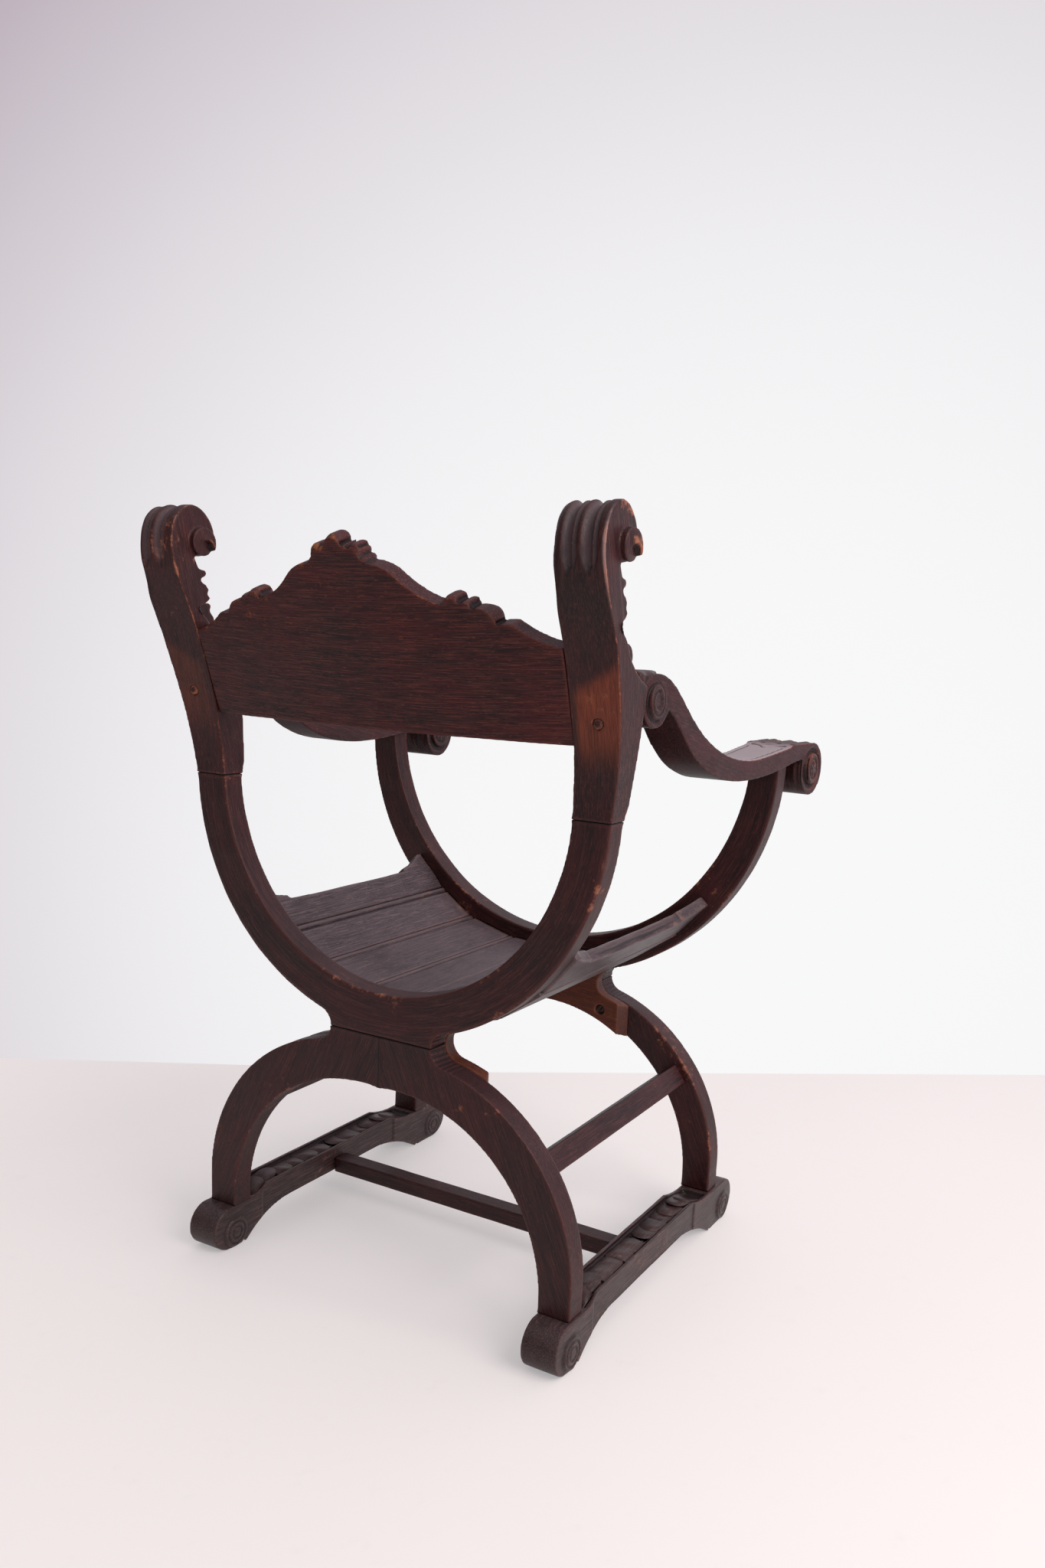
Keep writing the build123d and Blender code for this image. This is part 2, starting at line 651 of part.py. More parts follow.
def slat(number):
    """A left slat: square edges, a bead along its upper edge, a tongue at each end."""
    width = slat_frame(number)[3]
    near, over = slat_gap / 2, width - slat_gap / 2
    quirk = over - slat_bead_width
    if number == len(slat_joints) - 1:
        quirk -= slat_ear_rise
    half = slat_bead_quirk / 2
    section = polygon(
        slat_point(number, near, 0), slat_point(number, quirk - half, 0),
        slat_point(number, quirk, slat_bead_quirk), slat_point(number, quirk + half, 0),
        slat_point(number, over, 0), slat_point(number, over, slat_thickness),
        slat_point(number, near, slat_thickness),
    )
    body = across(section, back_front_y, back_front_y - front_rear_y)
    if number == len(slat_joints) - 1:
        body &= slat_scoop(number)
    return body + slat_tongues(number)


def slat_scoop(number):
    """The ogee-eared edge of the outermost slat, as a solid that keeps what lies inside it."""
    start, along, up, crown = slat_frame(number)
    low, high = front_rear_y, back_front_y
    half_length = (high - low) / 2
    tip = (slat_ear_tip, crown)
    ledge = (slat_ear_length, crown - slat_ear_drop)
    foot = (slat_ear_length, crown - slat_ear_drop - slat_ear_step)
    hollow = (half_length, crown - slat_ear_rise)
    half = outline(
        Line((0, crown), tip),
        bowed(tip, ledge, slat_ear_sag),
        Line(ledge, foot),
        bowed(foot, hollow, slat_scoop_sag),
        Line(hollow, (half_length, -crown)),
        Line((half_length, -crown), (0, -crown)),
        Line((0, -crown), (0, crown)),
    )
    whole = Pos(low, 0) * half + Pos(high, 0) * mirror(half, Plane.YZ)
    plane = Plane((start.X, 0, start.Y), x_dir=(0, 1, 0), z_dir=(up.X, 0, up.Y))
    if plane.y_dir.dot(Vector(along.X, 0, along.Y)) < 0:
        plane = Plane((start.X, 0, start.Y), x_dir=(0, 1, 0), z_dir=(-up.X, 0, -up.Y))
    return extrude(plane * whole, far / 4, both=True)


def slat_tongues(number, spare=0.0):
    """The tongues at both ends of a slat, as one bar that runs through it."""
    width = slat_frame(number)[3]
    near = slat_tongue_margin - spare
    over = width - slat_tongue_margin + spare
    if number == len(slat_joints) - 1:
        over -= slat_ear_rise / 2
    top = slat_tongue_cover - spare
    bottom = slat_tongue_cover + slat_tongue_thickness + spare
    section = polygon(slat_point(number, near, top), slat_point(number, over, top),
                      slat_point(number, over, bottom), slat_point(number, near, bottom))
    reach = slat_tongue_length + spare
    return across(section, back_front_y + reach, back_front_y - front_rear_y + 2 * reach)


# ---- Cleats ---------------------------------------------------------------------------------
def cleat(plate, frame, face_y, toward):
    """A plate over the waist of a frame, on the side that faces the other frame."""
    free_y = face_y + toward * cleat_thickness
    top = seat_point(slat_joints[0]).Y - slat_thickness - cleat_headroom
    long, short = cleat_half_length, cleat_half_length - cleat_bevel
    plan = polygon((-long, face_y), (long, face_y), (short, free_y), (-short, free_y))
    slab = Pos(0, toward * cleat_thickness, 0) * plate
    body = slab & extrude(plan, top)
    return cut(body, cleat_recesses(frame, face_y, toward) + cleat_screws(frame, face_y, toward, fit))


def cleat_recesses(frame, face_y, toward):
    """Round recesses in the cleat's free face, one over each screw."""
    free_y = face_y + toward * cleat_thickness
    rods = []
    for x, drop in cleat_screw_places:
        z = frame.waist_z - drop
        rods += both_sides(rod((x, free_y, z), (0, -toward, 0), screw_recess_diameter, screw_recess_depth))
    return rods


def cleat_screws(frame, face_y, toward, spare=0.0):
    """Countersunk screws through a cleat into its frame."""
    free_y = face_y + toward * (cleat_thickness - screw_recess_depth)
    screws = []
    for x, drop in cleat_screw_places:
        z = frame.waist_z - drop
        shank = rod((x, free_y, z), (0, -toward, 0), screw_shank_diameter + 2 * spare, screw_length + spare)
        head_depth = (screw_head_diameter - screw_shank_diameter) / 2
        head = Plane((x, free_y, z), z_dir=(0, -toward, 0)) * Pos(0, 0, head_depth / 2) \
            * Cone(screw_head_diameter / 2 + spare, screw_shank_diameter / 2 + spare, head_depth)
        screws += both_sides(shank + head)
    return screws


# ---- Stretchers -------------------------------------------------------------------------------
side_stretcher_radius = arch_outer_radius - side_stretcher_inset - side_stretcher_depth / 2


def side_stretcher_bar(depth, width, reach):
    """A bar between the legs on the left, so deep and wide, reaching so far past each face."""
    angle = radians(side_stretcher_angle)
    x = arch_outer_offset + side_stretcher_radius * cos(angle)
    z = arch_outer_height + side_stretcher_radius * sin(angle)
    plane = Plane((x, front_rear_y - reach, z), x_dir=(cos(angle), 0, sin(angle)), z_dir=(0, 1, 0))
    return extrude(plane * Rectangle(depth, width), back_front_y - front_rear_y + 2 * reach)


def side_stretcher():
    """The left side stretcher, its long edges softened, with a tenon at each end."""
    bar = side_stretcher_bar(side_stretcher_depth, side_stretcher_width, 0)
    bar = chamfer(bar.edges().filter_by(Axis.Y), edge_softening)
    return bar + side_stretcher_tenon()


def side_stretcher_tenon(spare=0.0):
    """The tenons of the side stretcher, as one bar that runs through it."""
    return side_stretcher_bar(side_stretcher_depth - 2 * stretcher_shoulder + 2 * spare,
                              side_stretcher_width - 2 * stretcher_shoulder + 2 * spare,
                              stretcher_tenon_length + spare)


def cross_stretcher():
    """The stretcher between the runners, its long edges softened, with a tenon at each end."""
    half_width = cross_stretcher_width / 2
    bar = block((-runner_inner_x, cross_stretcher_y - half_width, cross_stretcher_bottom),
                (runner_inner_x, cross_stretcher_y + half_width,
                 cross_stretcher_bottom + cross_stretcher_height))
    bar = chamfer(bar.edges().filter_by(Axis.X), edge_softening)
    return bar + cross_stretcher_tenon()


def cross_stretcher_tenon(spare=0.0):
    """The tenons of the cross stretcher, as one bar that runs through it."""
    reach = runner_inner_x + stretcher_tenon_length + spare
    half_width = cross_stretcher_width / 2 - stretcher_shoulder + spare
    bottom = cross_stretcher_bottom + stretcher_shoulder - spare
    top = cross_stretcher_bottom + cross_stretcher_height - stretcher_shoulder + spare
    return block((-reach, cross_stretcher_y - half_width, bottom),
                 (reach, cross_stretcher_y + half_width, top))


# ---- Assembly -------------------------------------------------------------------------------
def post_dowels(spare=0.0):
    """Two upright dowels across each seam between bowl and post."""
    middle = (back.bowl_x(back_bowl_top) + back.bowl_x(back_bowl_top, inner=True)) / 2
    start = (middle, back_rear_y - frame_thickness / 2, back_bowl_top - dowel_length / 2 - spare)
    rods = []
    for shift in (-dowel_diameter, dowel_diameter):
        place = (start[0] + shift, start[1], start[2])
        rods += both_sides(rod(place, (0, 0, 1), dowel_diameter + 2 * spare, dowel_length + 2 * spare))
    return rods


def add_pair(nodes, name, left):
    """A left piece and its mirror image on the right."""
    nodes[name + "_left"] = left
    nodes[name + "_right"] = mirror(left, Plane.YZ)


def add_frame(nodes, name, frame, cleat_face, toward, bowl_tools):
    """The arch, bowl, cleat, dowels and screws of one frame."""
    holes = [frame.crown_dowel(fit), *frame.waist_dowels(fit), *cleat_screws(frame, cleat_face, toward, fit)]
    arch = frame.arch_half()
    plate = frame.bowl() + both_sides(arch)
    arch = cut(arch, holes + [side_stretcher_tenon(fit)])
    add_pair(nodes, name + "_arch", arch + frame.leg_tenon())
    nodes[name + "_bowl"] = cut(frame.bowl(), holes + bowl_tools)
    nodes[name + "_cleat"] = cleat(plate, frame, cleat_face, toward)
    nodes[name + "_crown_dowel"] = frame.crown_dowel()
    nodes[name + "_waist_dowels"] = group(frame.waist_dowels())
    nodes[name + "_cleat_screws"] = group(cleat_screws(frame, cleat_face, toward))


def chair():
    """Every piece of the chair, by name."""
    nodes = {}
    tongues = []
    for number in range(len(slat_joints)):
        tongues += both_sides(slat_tongues(number, fit))
    front_dowels = both_sides(arm_front_dowel(fit))
    panel_holes = [panel_plane.location * panel_tenons(fit), *panel_pegs(fit)]

    add_frame(nodes, "back", back, back_front_y, -1, tongues + post_dowels(fit))
    add_frame(nodes, "front", front, front_rear_y, 1, tongues + front_dowels + both_sides(arm()))
    add_pair(nodes, "runner", cut(runner_half(), [back.leg_tenon(fit), front.leg_tenon(fit),
                                                  cross_stretcher_tenon(fit)]))
    add_pair(nodes, "back_post", cut(post(), post_dowels(fit) + panel_holes + arm_rear_dowels(fit)))
    add_pair(nodes, "arm", cut(arm(), arm_rear_dowels(fit) + [arm_front_dowel(fit)]))
    add_pair(nodes, "side_stretcher", side_stretcher())
    for number in range(len(slat_joints)):
        add_pair(nodes, "seat_slat_" + str(number + 1), slat(number))
    nodes["back_panel"] = cut(panel(), panel_pegs(fit))
    nodes["cross_stretcher"] = cross_stretcher()
    nodes["panel_pegs"] = group(panel_pegs())
    nodes["post_dowels"] = group(post_dowels())
    nodes["arm_front_dowels"] = group(both_sides(arm_front_dowel()))
    nodes["arm_rear_dowels"] = group([d for left in arm_rear_dowels() for d in both_sides(left)])
    return nodes


def export_chair(nodes):
    """Write each piece with the origin on the floor, under the middle of the chair's box."""
    os.makedirs("parts", exist_ok=True)
    boxes = [node.bounding_box() for node in nodes.values()]
    middle_y = (min(box.min.Y for box in boxes) + max(box.max.Y for box in boxes)) / 2
    for name, node in nodes.items():
        export_step(Pos(0, -middle_y, 0) * node, "parts/" + name + ".step")
    print(len(nodes), "pieces; y shift", round(-middle_y, 3))


export_chair(chair())
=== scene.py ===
# %% [markdown]
# # An oak armchair of the Savonarola pattern
# Two X-shaped frames stand on carved runners and carry a curved seat of slats, a raked back panel
# between scrolled posts, and two scrolled arms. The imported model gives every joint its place. This
# lesson dresses it as old stained oak: carved, softened at the edges, rubbed pale where hands and
# clothes touch it, and dark where wax and dust have settled.

import math

import bmesh
import bpy
import numpy as np
from mathutils import Matrix, Vector


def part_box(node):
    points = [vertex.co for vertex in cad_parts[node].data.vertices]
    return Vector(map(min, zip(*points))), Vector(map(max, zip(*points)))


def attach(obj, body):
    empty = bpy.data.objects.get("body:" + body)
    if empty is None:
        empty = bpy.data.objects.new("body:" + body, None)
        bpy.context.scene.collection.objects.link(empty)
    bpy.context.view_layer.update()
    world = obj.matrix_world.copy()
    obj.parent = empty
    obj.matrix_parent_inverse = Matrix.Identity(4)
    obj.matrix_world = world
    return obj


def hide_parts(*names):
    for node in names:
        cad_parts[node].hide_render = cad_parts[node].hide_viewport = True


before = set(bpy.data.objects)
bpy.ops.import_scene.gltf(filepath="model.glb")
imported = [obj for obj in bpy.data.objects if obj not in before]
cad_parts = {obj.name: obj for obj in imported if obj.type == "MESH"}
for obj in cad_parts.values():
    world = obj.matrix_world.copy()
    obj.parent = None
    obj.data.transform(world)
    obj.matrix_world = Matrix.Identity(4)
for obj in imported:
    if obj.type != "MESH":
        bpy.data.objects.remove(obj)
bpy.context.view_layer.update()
print("pieces in the model:", len(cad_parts))

# %% [markdown]
# ## A drawing frame in millimetres
# A joiner measures a chair in millimetres, and from its middle. The sizes in this lesson count y from
# halfway between the rear faces of the two X-frames, x from the middle and z from the floor. One
# shift along y, measured on the rear bowl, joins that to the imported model, which is in metres. Most
# pieces come in pairs, so one list of the two sides serves every loop.

# %% Units and the shift along y
mm = 0.001
back_face = 201.0
origin_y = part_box("back_bowl")[1].y / mm - back_face
sides = (("left", 1), ("right", -1))      # the sitter's left lies at +x


def place(x, y, z):
    """A point of the drawing frame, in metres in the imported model's frame."""
    return Vector((x, y + origin_y, z)) * mm


def linked(name, data):
    """A new object in the scene, made of this data."""
    thing = bpy.data.objects.new(name, data)
    bpy.context.scene.collection.objects.link(thing)
    return thing


print("drawing origin at y =", round(origin_y, 2), "mm")

# %% [markdown]
# ## The camera
# The chair is seen from behind its right rear leg, from a little above the arms. The direction comes
# from three turns: yaw about the vertical, pitch down, and a slight roll. The shift moves the picture
# on the film without turning the camera, so the upright lines keep their slant.

# %% Camera
camera_place = (-854.2, 1317.8, 815.7)
yaw, pitch, roll = 0.501308, 0.186444, 0.047784
forward = Vector((math.sin(yaw) * math.cos(pitch), -math.cos(yaw) * math.cos(pitch), -math.sin(pitch)))
level_right = forward.cross(Vector((0, 0, 1))).normalized()
level_up = level_right.cross(forward)
right = level_right * math.cos(roll) + level_up * math.sin(roll)
up = level_up * math.cos(roll) - level_right * math.sin(roll)

film = bpy.data.cameras.new("camera")
film.sensor_width = 36.0
film.lens = 28.12
film.shift_x = -0.02781
film.shift_y = 0.05381
film.clip_end = 50.0
camera = linked("camera", film)
turn = Matrix((right, up, -forward)).transposed()
camera.matrix_world = Matrix.Translation(place(*camera_place)) @ turn.to_4x4()
bpy.context.scene.camera = camera
bpy.context.scene.view_settings.view_transform = "Standard"
print("camera at", [round(v, 3) for v in camera.matrix_world.translation])

# %% [markdown]
# ## Colours and nodes
# A colour is written as the hex value that a screen shows, in sRGB. Shaders calculate in linear
# light, so one function turns the first into the second. A second function adds any node, with its
# settings and its links, and gives back the output that the next node needs. A third starts a
# material with an empty tree.


# %% Helpers for materials
in_colour = {"out": 2, "data_type": "RGBA"}      # sets a Mix node to blend colours


def srgb(code):
    """Linear RGBA from a hex colour such as #4a2a26."""
    parts = [int(code[i:i + 2], 16) / 255 for i in (1, 3, 5)]
    linear = [c / 12.92 if c <= 0.04045 else ((c + 0.055) / 1.055) ** 2.4 for c in parts]
    return (*linear, 1.0)


def add(tree, kind, inputs=None, out=0, **settings):
    """Add a node, set it up, link or fill its inputs, and return one of its outputs."""
    node = tree.nodes.new(kind)
    for name, value in settings.items():
        setattr(node, name, value)
    for key, value in (inputs or {}).items():
        if isinstance(value, bpy.types.NodeSocket):
            tree.links.new(value, node.inputs[key])
        else:
            node.inputs[key].default_value = value
    return node.outputs[out] if len(node.outputs) else node


def new_material(name):
    """A material without nodes, and its tree."""
    material = bpy.data.materials.new(name)
    material.use_nodes = True
    material.node_tree.nodes.clear()
    return material, material.node_tree


# %% [markdown]
# ## Room, floor and light
# The room is a plain pale floor under plain light. A large soft lamp stands on the chair's right, like
# a window, and the world fills in the rest. Seen directly, or in a gloss, the world shows the pale
# wall instead of its light: the Light Path node tells those rays apart.

# %% World and window light
def shown_rays(tree):
    """Two outputs: 1 for what is seen directly, mirrored or through glass, and 1 for the first alone."""
    seen = add(tree, "ShaderNodeLightPath")
    shown = seen
    for ray in ("Is Glossy Ray", "Is Transmission Ray"):
        shown = add(tree, "ShaderNodeMath", {0: shown, 1: seen.node.outputs[ray]}, operation="MAXIMUM")
    return shown, seen


world = bpy.data.worlds.new("pale room")
bpy.context.scene.world = world
world.use_nodes = True
world.node_tree.nodes.clear()
tree = world.node_tree
shown, seen = shown_rays(tree)
# The room is bright towards the window and the wall, and dimmer behind the viewer
toward = add(tree, "ShaderNodeTexCoord")
bright = add(tree, "ShaderNodeVectorMath", {0: toward, 1: (-0.72, -0.42, 0.55)}, out=1,
             operation="DOT_PRODUCT")
level = add(tree, "ShaderNodeMapRange", {0: bright, 1: -0.75, 2: 0.95, 3: 0.16, 4: 0.98})
# The wall shown behind the chair has painted shade: brightest at the window's side, falling to mauve
along = add(tree, "ShaderNodeVectorMath", {0: toward, 1: (0.3137, -0.9334, -0.1744)}, out=1,
            operation="DOT_PRODUCT")
fall = add(tree, "ShaderNodeMapRange", {0: along, 1: 1.0, 2: 0.65})
fall = add(tree, "ShaderNodeMath", {0: fall, 1: 1.6}, operation="POWER")
near_wall = add(tree, "ShaderNodeMapRange", {0: along, 1: -0.2, 2: 0.5, 3: 0.25, 4: 1.0})
fall = add(tree, "ShaderNodeMath", {0: fall, 1: near_wall}, operation="MULTIPLY")
wall_with_painted_shade = add(tree, "ShaderNodeMix", {0: fall, 6: srgb("#f8f8f9"), 7: srgb("#af9fad")}, **in_colour)
room_light = add(tree, "ShaderNodeBackground", {"Color": srgb("#fbf3f3"), "Strength": level})
# In a gloss the wall is half again as bright as the room's light: a painted reflection on the wood
painted_gloss_level = add(tree, "ShaderNodeMath", {0: level, 1: 1.5}, operation="MULTIPLY")
wall_level = add(tree, "ShaderNodeMix", {0: seen, 2: painted_gloss_level, 3: 1.0})
wall = add(tree, "ShaderNodeBackground", {"Color": wall_with_painted_shade, "Strength": wall_level})
room = add(tree, "ShaderNodeMixShader", {0: shown, 1: room_light, 2: wall})
add(tree, "ShaderNodeOutputWorld", {"Surface": room})

window = bpy.data.lights.new("window", "AREA")
window.shape = "RECTANGLE"
window.size = 1.8
window.size_y = 1.6
window.energy = 40.0
window.color = srgb("#fff6f2")[:3]
window_light = linked("window", window)
window_place = place(-2300, 500, 1900)
seat_middle = place(0, 0, 450)
aim = (seat_middle - window_place).to_track_quat("-Z", "Y")
window_light.matrix_world = Matrix.Translation(window_place) @ aim.to_matrix().to_4x4()
print("window", round((seat_middle - window_place).length, 2), "m from the chair")

# %% Floor
wall_line = [Vector((-586.1, -1206.1)), Vector((316.3, -556.8)), Vector((1089.5, -79.7))]
near_run = (wall_line[1] - wall_line[0]).normalized()
far_run = (wall_line[2] - wall_line[1]).normalized()
away = Vector((-near_run.y, near_run.x))
wall_run, floor_depth = 6000, 7000
first, last = wall_line[0] - near_run * wall_run, wall_line[2] + far_run * wall_run
corners = [first, wall_line[1], last, last + away * floor_depth, first + away * floor_depth]
floor_mesh = bpy.data.meshes.new("floor")
floor_mesh.from_pydata([place(c.x, c.y, 0.0) for c in corners], [], [range(5)])
floor = linked("floor", floor_mesh)

floor_paint, tree = new_material("pale_painted_floor")
spot = add(tree, "ShaderNodeTexCoord", out=3)
mottle = add(tree, "ShaderNodeTexNoise", {"Vector": spot, "Scale": 1.3, "Detail": 2.0})
scuffs = add(tree, "ShaderNodeTexNoise", {"Vector": spot, "Scale": 26.0, "Detail": 6.0, "Roughness": 0.7})
scuffs = add(tree, "ShaderNodeMapRange", {0: scuffs, 1: 0.58, 2: 0.78, 4: 0.35})
paint = add(tree, "ShaderNodeMix", {0: mottle, 6: srgb("#cbc4c4"), 7: srgb("#d3cdce")}, **in_colour)
paint = add(tree, "ShaderNodeMix", {0: scuffs, 6: paint, 7: srgb("#c0babb")}, **in_colour)
skin = add(tree, "ShaderNodeBsdfPrincipled", {"Base Color": paint, "Roughness": 0.6,
                                              "Specular IOR Level": 0.2})
# Seen, mirrored or through glass the floor gets a painted glow, paler than the light that it gives
# back, which also lightens the shadows on it
shown, _ = shown_rays(tree)
# Away from the wall, behind whoever looks at the chair's back, the painted glow fades: a painted shade
depth = add(tree, "ShaderNodeVectorMath", {0: spot, 1: (*away, 0.0)}, out=1, operation="DOT_PRODUCT")
lift = add(tree, "ShaderNodeMapRange", {0: depth, 1: 0.9, 2: 2.4, 3: 0.36, 4: 0.08})
lift = add(tree, "ShaderNodeMath", {0: shown, 1: lift}, operation="MULTIPLY")
painted_floor_glow = add(tree, "ShaderNodeEmission", {"Color": srgb("#faf8f9"), "Strength": lift})
both = add(tree, "ShaderNodeAddShader", {0: skin, 1: painted_floor_glow})
add(tree, "ShaderNodeOutputMaterial", {"Surface": both})
floor_mesh.materials.append(floor_paint)

# %% [markdown]
# ## Stained and waxed oak
# The chair is English or Italian oak, sawn and planed, stained a dark reddish brown and waxed for a
# century. Oak shows long open pores about 0.3 mm wide and 5 to 20 mm long, growth bands a few
# millimetres wide, and pale flecks where a ray comes to the surface. The pores are drawn 0.8 mm wide,
# because finer ones would not show. The stain sits deepest in the pores and the hollows. It has
# rubbed off the proud edges, down to orange-brown wood. The wax gives a soft sheen, duller in dust.
#
# Five attributes on each piece steer the pattern. `grain` holds a point's place measured along and
# across the fibres, so the figure can follow a curved board. `relief` is positive on proud edges and
# negative in hollows. `rub` marks the patches that hands, clothes or shoes have worn, `washed` those
# where the stain was rubbed thin but not through, and `bloom_and_painted_sheen` those that turn a milky
# grey: a painted sheen in the flutes and along a post's rubbed corner, a painted reflection on the tops
# of the arms, and old wax gone milky on the ends of the cleats.


# %% The oak material
def waxed_oak(name, deep, stain, pale, worn, soil, wear=1.0, figure=1.0, dull=0.44, dust_and_sheen_amount=0.1,
              gloss=0.34):
    """Old stained oak. The five colours run from the deepest stain to bare and to dirty wood."""
    material, tree = new_material(name)
    fibres = add(tree, "ShaderNodeAttribute", out=1, attribute_name="grain")
    relief, rub, washed, bloom_and_painted_sheen = [add(tree, "ShaderNodeAttribute", out=2, attribute_name=label)
                                  for label in ("relief", "rub", "washed", "bloom_and_painted_sheen")]

    # growth bands, 11 mm across and twenty times as long
    long_way = add(tree, "ShaderNodeVectorMath", {0: fibres, 1: (0.05, 1.0, 1.0)}, operation="MULTIPLY")
    bands = add(tree, "ShaderNodeTexNoise", {"Vector": long_way, "Scale": 90.0, "Detail": 3.0,
                                             "Roughness": 0.6, "Distortion": 0.4})
    # fibres, 1.4 mm across and 40 mm long
    fine_way = add(tree, "ShaderNodeVectorMath", {0: fibres, 1: (0.035, 1.0, 1.0)}, operation="MULTIPLY")
    streaks = add(tree, "ShaderNodeTexNoise", {"Vector": fine_way, "Scale": 720.0, "Detail": 2.0,
                                               "Roughness": 0.65})
    # open pores, drawn 0.8 mm wide and 10 mm long
    pore_way = add(tree, "ShaderNodeVectorMath", {0: fibres, 1: (0.08, 1.0, 1.0)}, operation="MULTIPLY")
    pores = add(tree, "ShaderNodeTexNoise", {"Vector": pore_way, "Scale": 1150.0, "Detail": 1.0})
    pores = add(tree, "ShaderNodeMapRange", {0: pores, 1: 0.60, 2: 0.70}, interpolation_type="SMOOTHSTEP")
    # ray flecks, 1.5 mm by 6 mm
    ray_way = add(tree, "ShaderNodeVectorMath", {0: fibres, 1: (0.25, 1.0, 1.0)}, operation="MULTIPLY")
    rays = add(tree, "ShaderNodeTexNoise", {"Vector": ray_way, "Scale": 640.0, "Detail": 1.0})
    rays = add(tree, "ShaderNodeMapRange", {0: rays, 1: 0.64, 2: 0.72}, interpolation_type="SMOOTHSTEP")
    # clouds in the stain, about 90 mm across
    clouds = add(tree, "ShaderNodeTexNoise", {"Vector": fibres, "Scale": 11.0, "Detail": 4.0,
                                              "Roughness": 0.55})

    tone = add(tree, "ShaderNodeMath", {0: bands, 1: clouds}, operation="ADD")
    tone = add(tree, "ShaderNodeMapRange", {0: tone, 1: 0.72, 2: 1.28})
    colour = add(tree, "ShaderNodeMix", {0: tone, 6: srgb(deep), 7: srgb(stain)}, **in_colour)
    thread = add(tree, "ShaderNodeMapRange", {0: streaks, 1: 0.46, 2: 0.74, 4: 0.55 * figure})
    colour = add(tree, "ShaderNodeMix", {0: thread, 6: colour, 7: srgb(pale)}, **in_colour)
    fleck = add(tree, "ShaderNodeMath", {0: rays, 1: 0.40 * figure}, operation="MULTIPLY")
    colour = add(tree, "ShaderNodeMix", {0: fleck, 6: colour, 7: srgb(pale)}, **in_colour)
    pit = add(tree, "ShaderNodeMath", {0: pores, 1: 0.62 * figure}, operation="MULTIPLY")
    colour = add(tree, "ShaderNodeMix", {0: pit, 6: colour, 7: srgb(soil)}, **in_colour)

    # where polish and stain were washed thin, the warm oak shows between the threads
    warmth = add(tree, "ShaderNodeMath", {0: clouds, 1: 1.2, 2: 0.35}, operation="MULTIPLY_ADD")
    warmth = add(tree, "ShaderNodeMath", {0: warmth, 1: washed}, operation="MULTIPLY", use_clamp=True)
    thread = add(tree, "ShaderNodeMapRange", {0: streaks, 1: 0.35, 2: 0.65, 3: 0.45, 4: 1.0})
    warmth = add(tree, "ShaderNodeMath", {0: warmth, 1: thread}, operation="MULTIPLY")
    colour = add(tree, "ShaderNodeMix", {0: warmth, 6: colour, 7: srgb("#8c452c")}, **in_colour)

    # the stain is thinner along every proud edge, and gone where chips, clouds and rubbing add up
    thin = add(tree, "ShaderNodeMapRange", {0: relief, 1: 0.08, 2: 0.75, 4: 0.42})
    colour = add(tree, "ShaderNodeMix", {0: thin, 6: colour, 7: srgb(pale)}, **in_colour)
    chips = add(tree, "ShaderNodeTexNoise", {"Vector": fibres, "Scale": 85.0, "Detail": 4.0,
                                             "Roughness": 0.7})
    proud = add(tree, "ShaderNodeMapRange", {0: relief, 1: 0.15, 2: 0.8, 4: 0.40 * wear})
    proud = add(tree, "ShaderNodeMath", {0: proud, 1: rub}, operation="ADD")
    patchy = add(tree, "ShaderNodeMath", {0: clouds, 1: 1.4, 2: -1.692}, operation="MULTIPLY_ADD")
    patchy = add(tree, "ShaderNodeMath", {0: chips, 1: 1.6, 2: patchy}, operation="MULTIPLY_ADD")
    patchy = add(tree, "ShaderNodeMath", {0: patchy, 1: proud}, operation="ADD")
    bare = add(tree, "ShaderNodeMapRange", {0: patchy, 1: 0.12, 2: 0.52},
               interpolation_type="SMOOTHSTEP")
    bare_share = add(tree, "ShaderNodeMath", {0: bare, 1: 0.85}, operation="MULTIPLY")
    colour = add(tree, "ShaderNodeMix", {0: bare_share, 6: colour, 7: srgb(worn)}, **in_colour)

    # a milky grey: a painted sheen in the flutes and on a post's corner, a painted reflection on the arm
    # tops, and a bloom of old wax on the cleats' ends
    colour = add(tree, "ShaderNodeMix", {0: bloom_and_painted_sheen, 6: colour, 7: srgb("#b9adb4")}, **in_colour)

    # dirt in the hollows; on what faces up, a lavender grey, part dust and part painted sheen
    hollow = add(tree, "ShaderNodeMapRange", {0: relief, 1: -0.08, 2: -0.75, 4: 0.85})
    colour = add(tree, "ShaderNodeMix", {0: hollow, 6: colour, 7: srgb(soil)}, **in_colour)
    facing = add(tree, "ShaderNodeNewGeometry", out=1)
    height = add(tree, "ShaderNodeSeparateXYZ", {0: facing}, out=2)
    upward = add(tree, "ShaderNodeMapRange", {0: height, 1: 0.35, 2: 1.0, 4: dust_and_sheen_amount})
    dust_and_sheen = add(tree, "ShaderNodeMath", {0: upward, 1: clouds}, operation="MULTIPLY")
    colour = add(tree, "ShaderNodeMix", {0: dust_and_sheen, 6: colour, 7: srgb("#a79aa2")}, **in_colour)

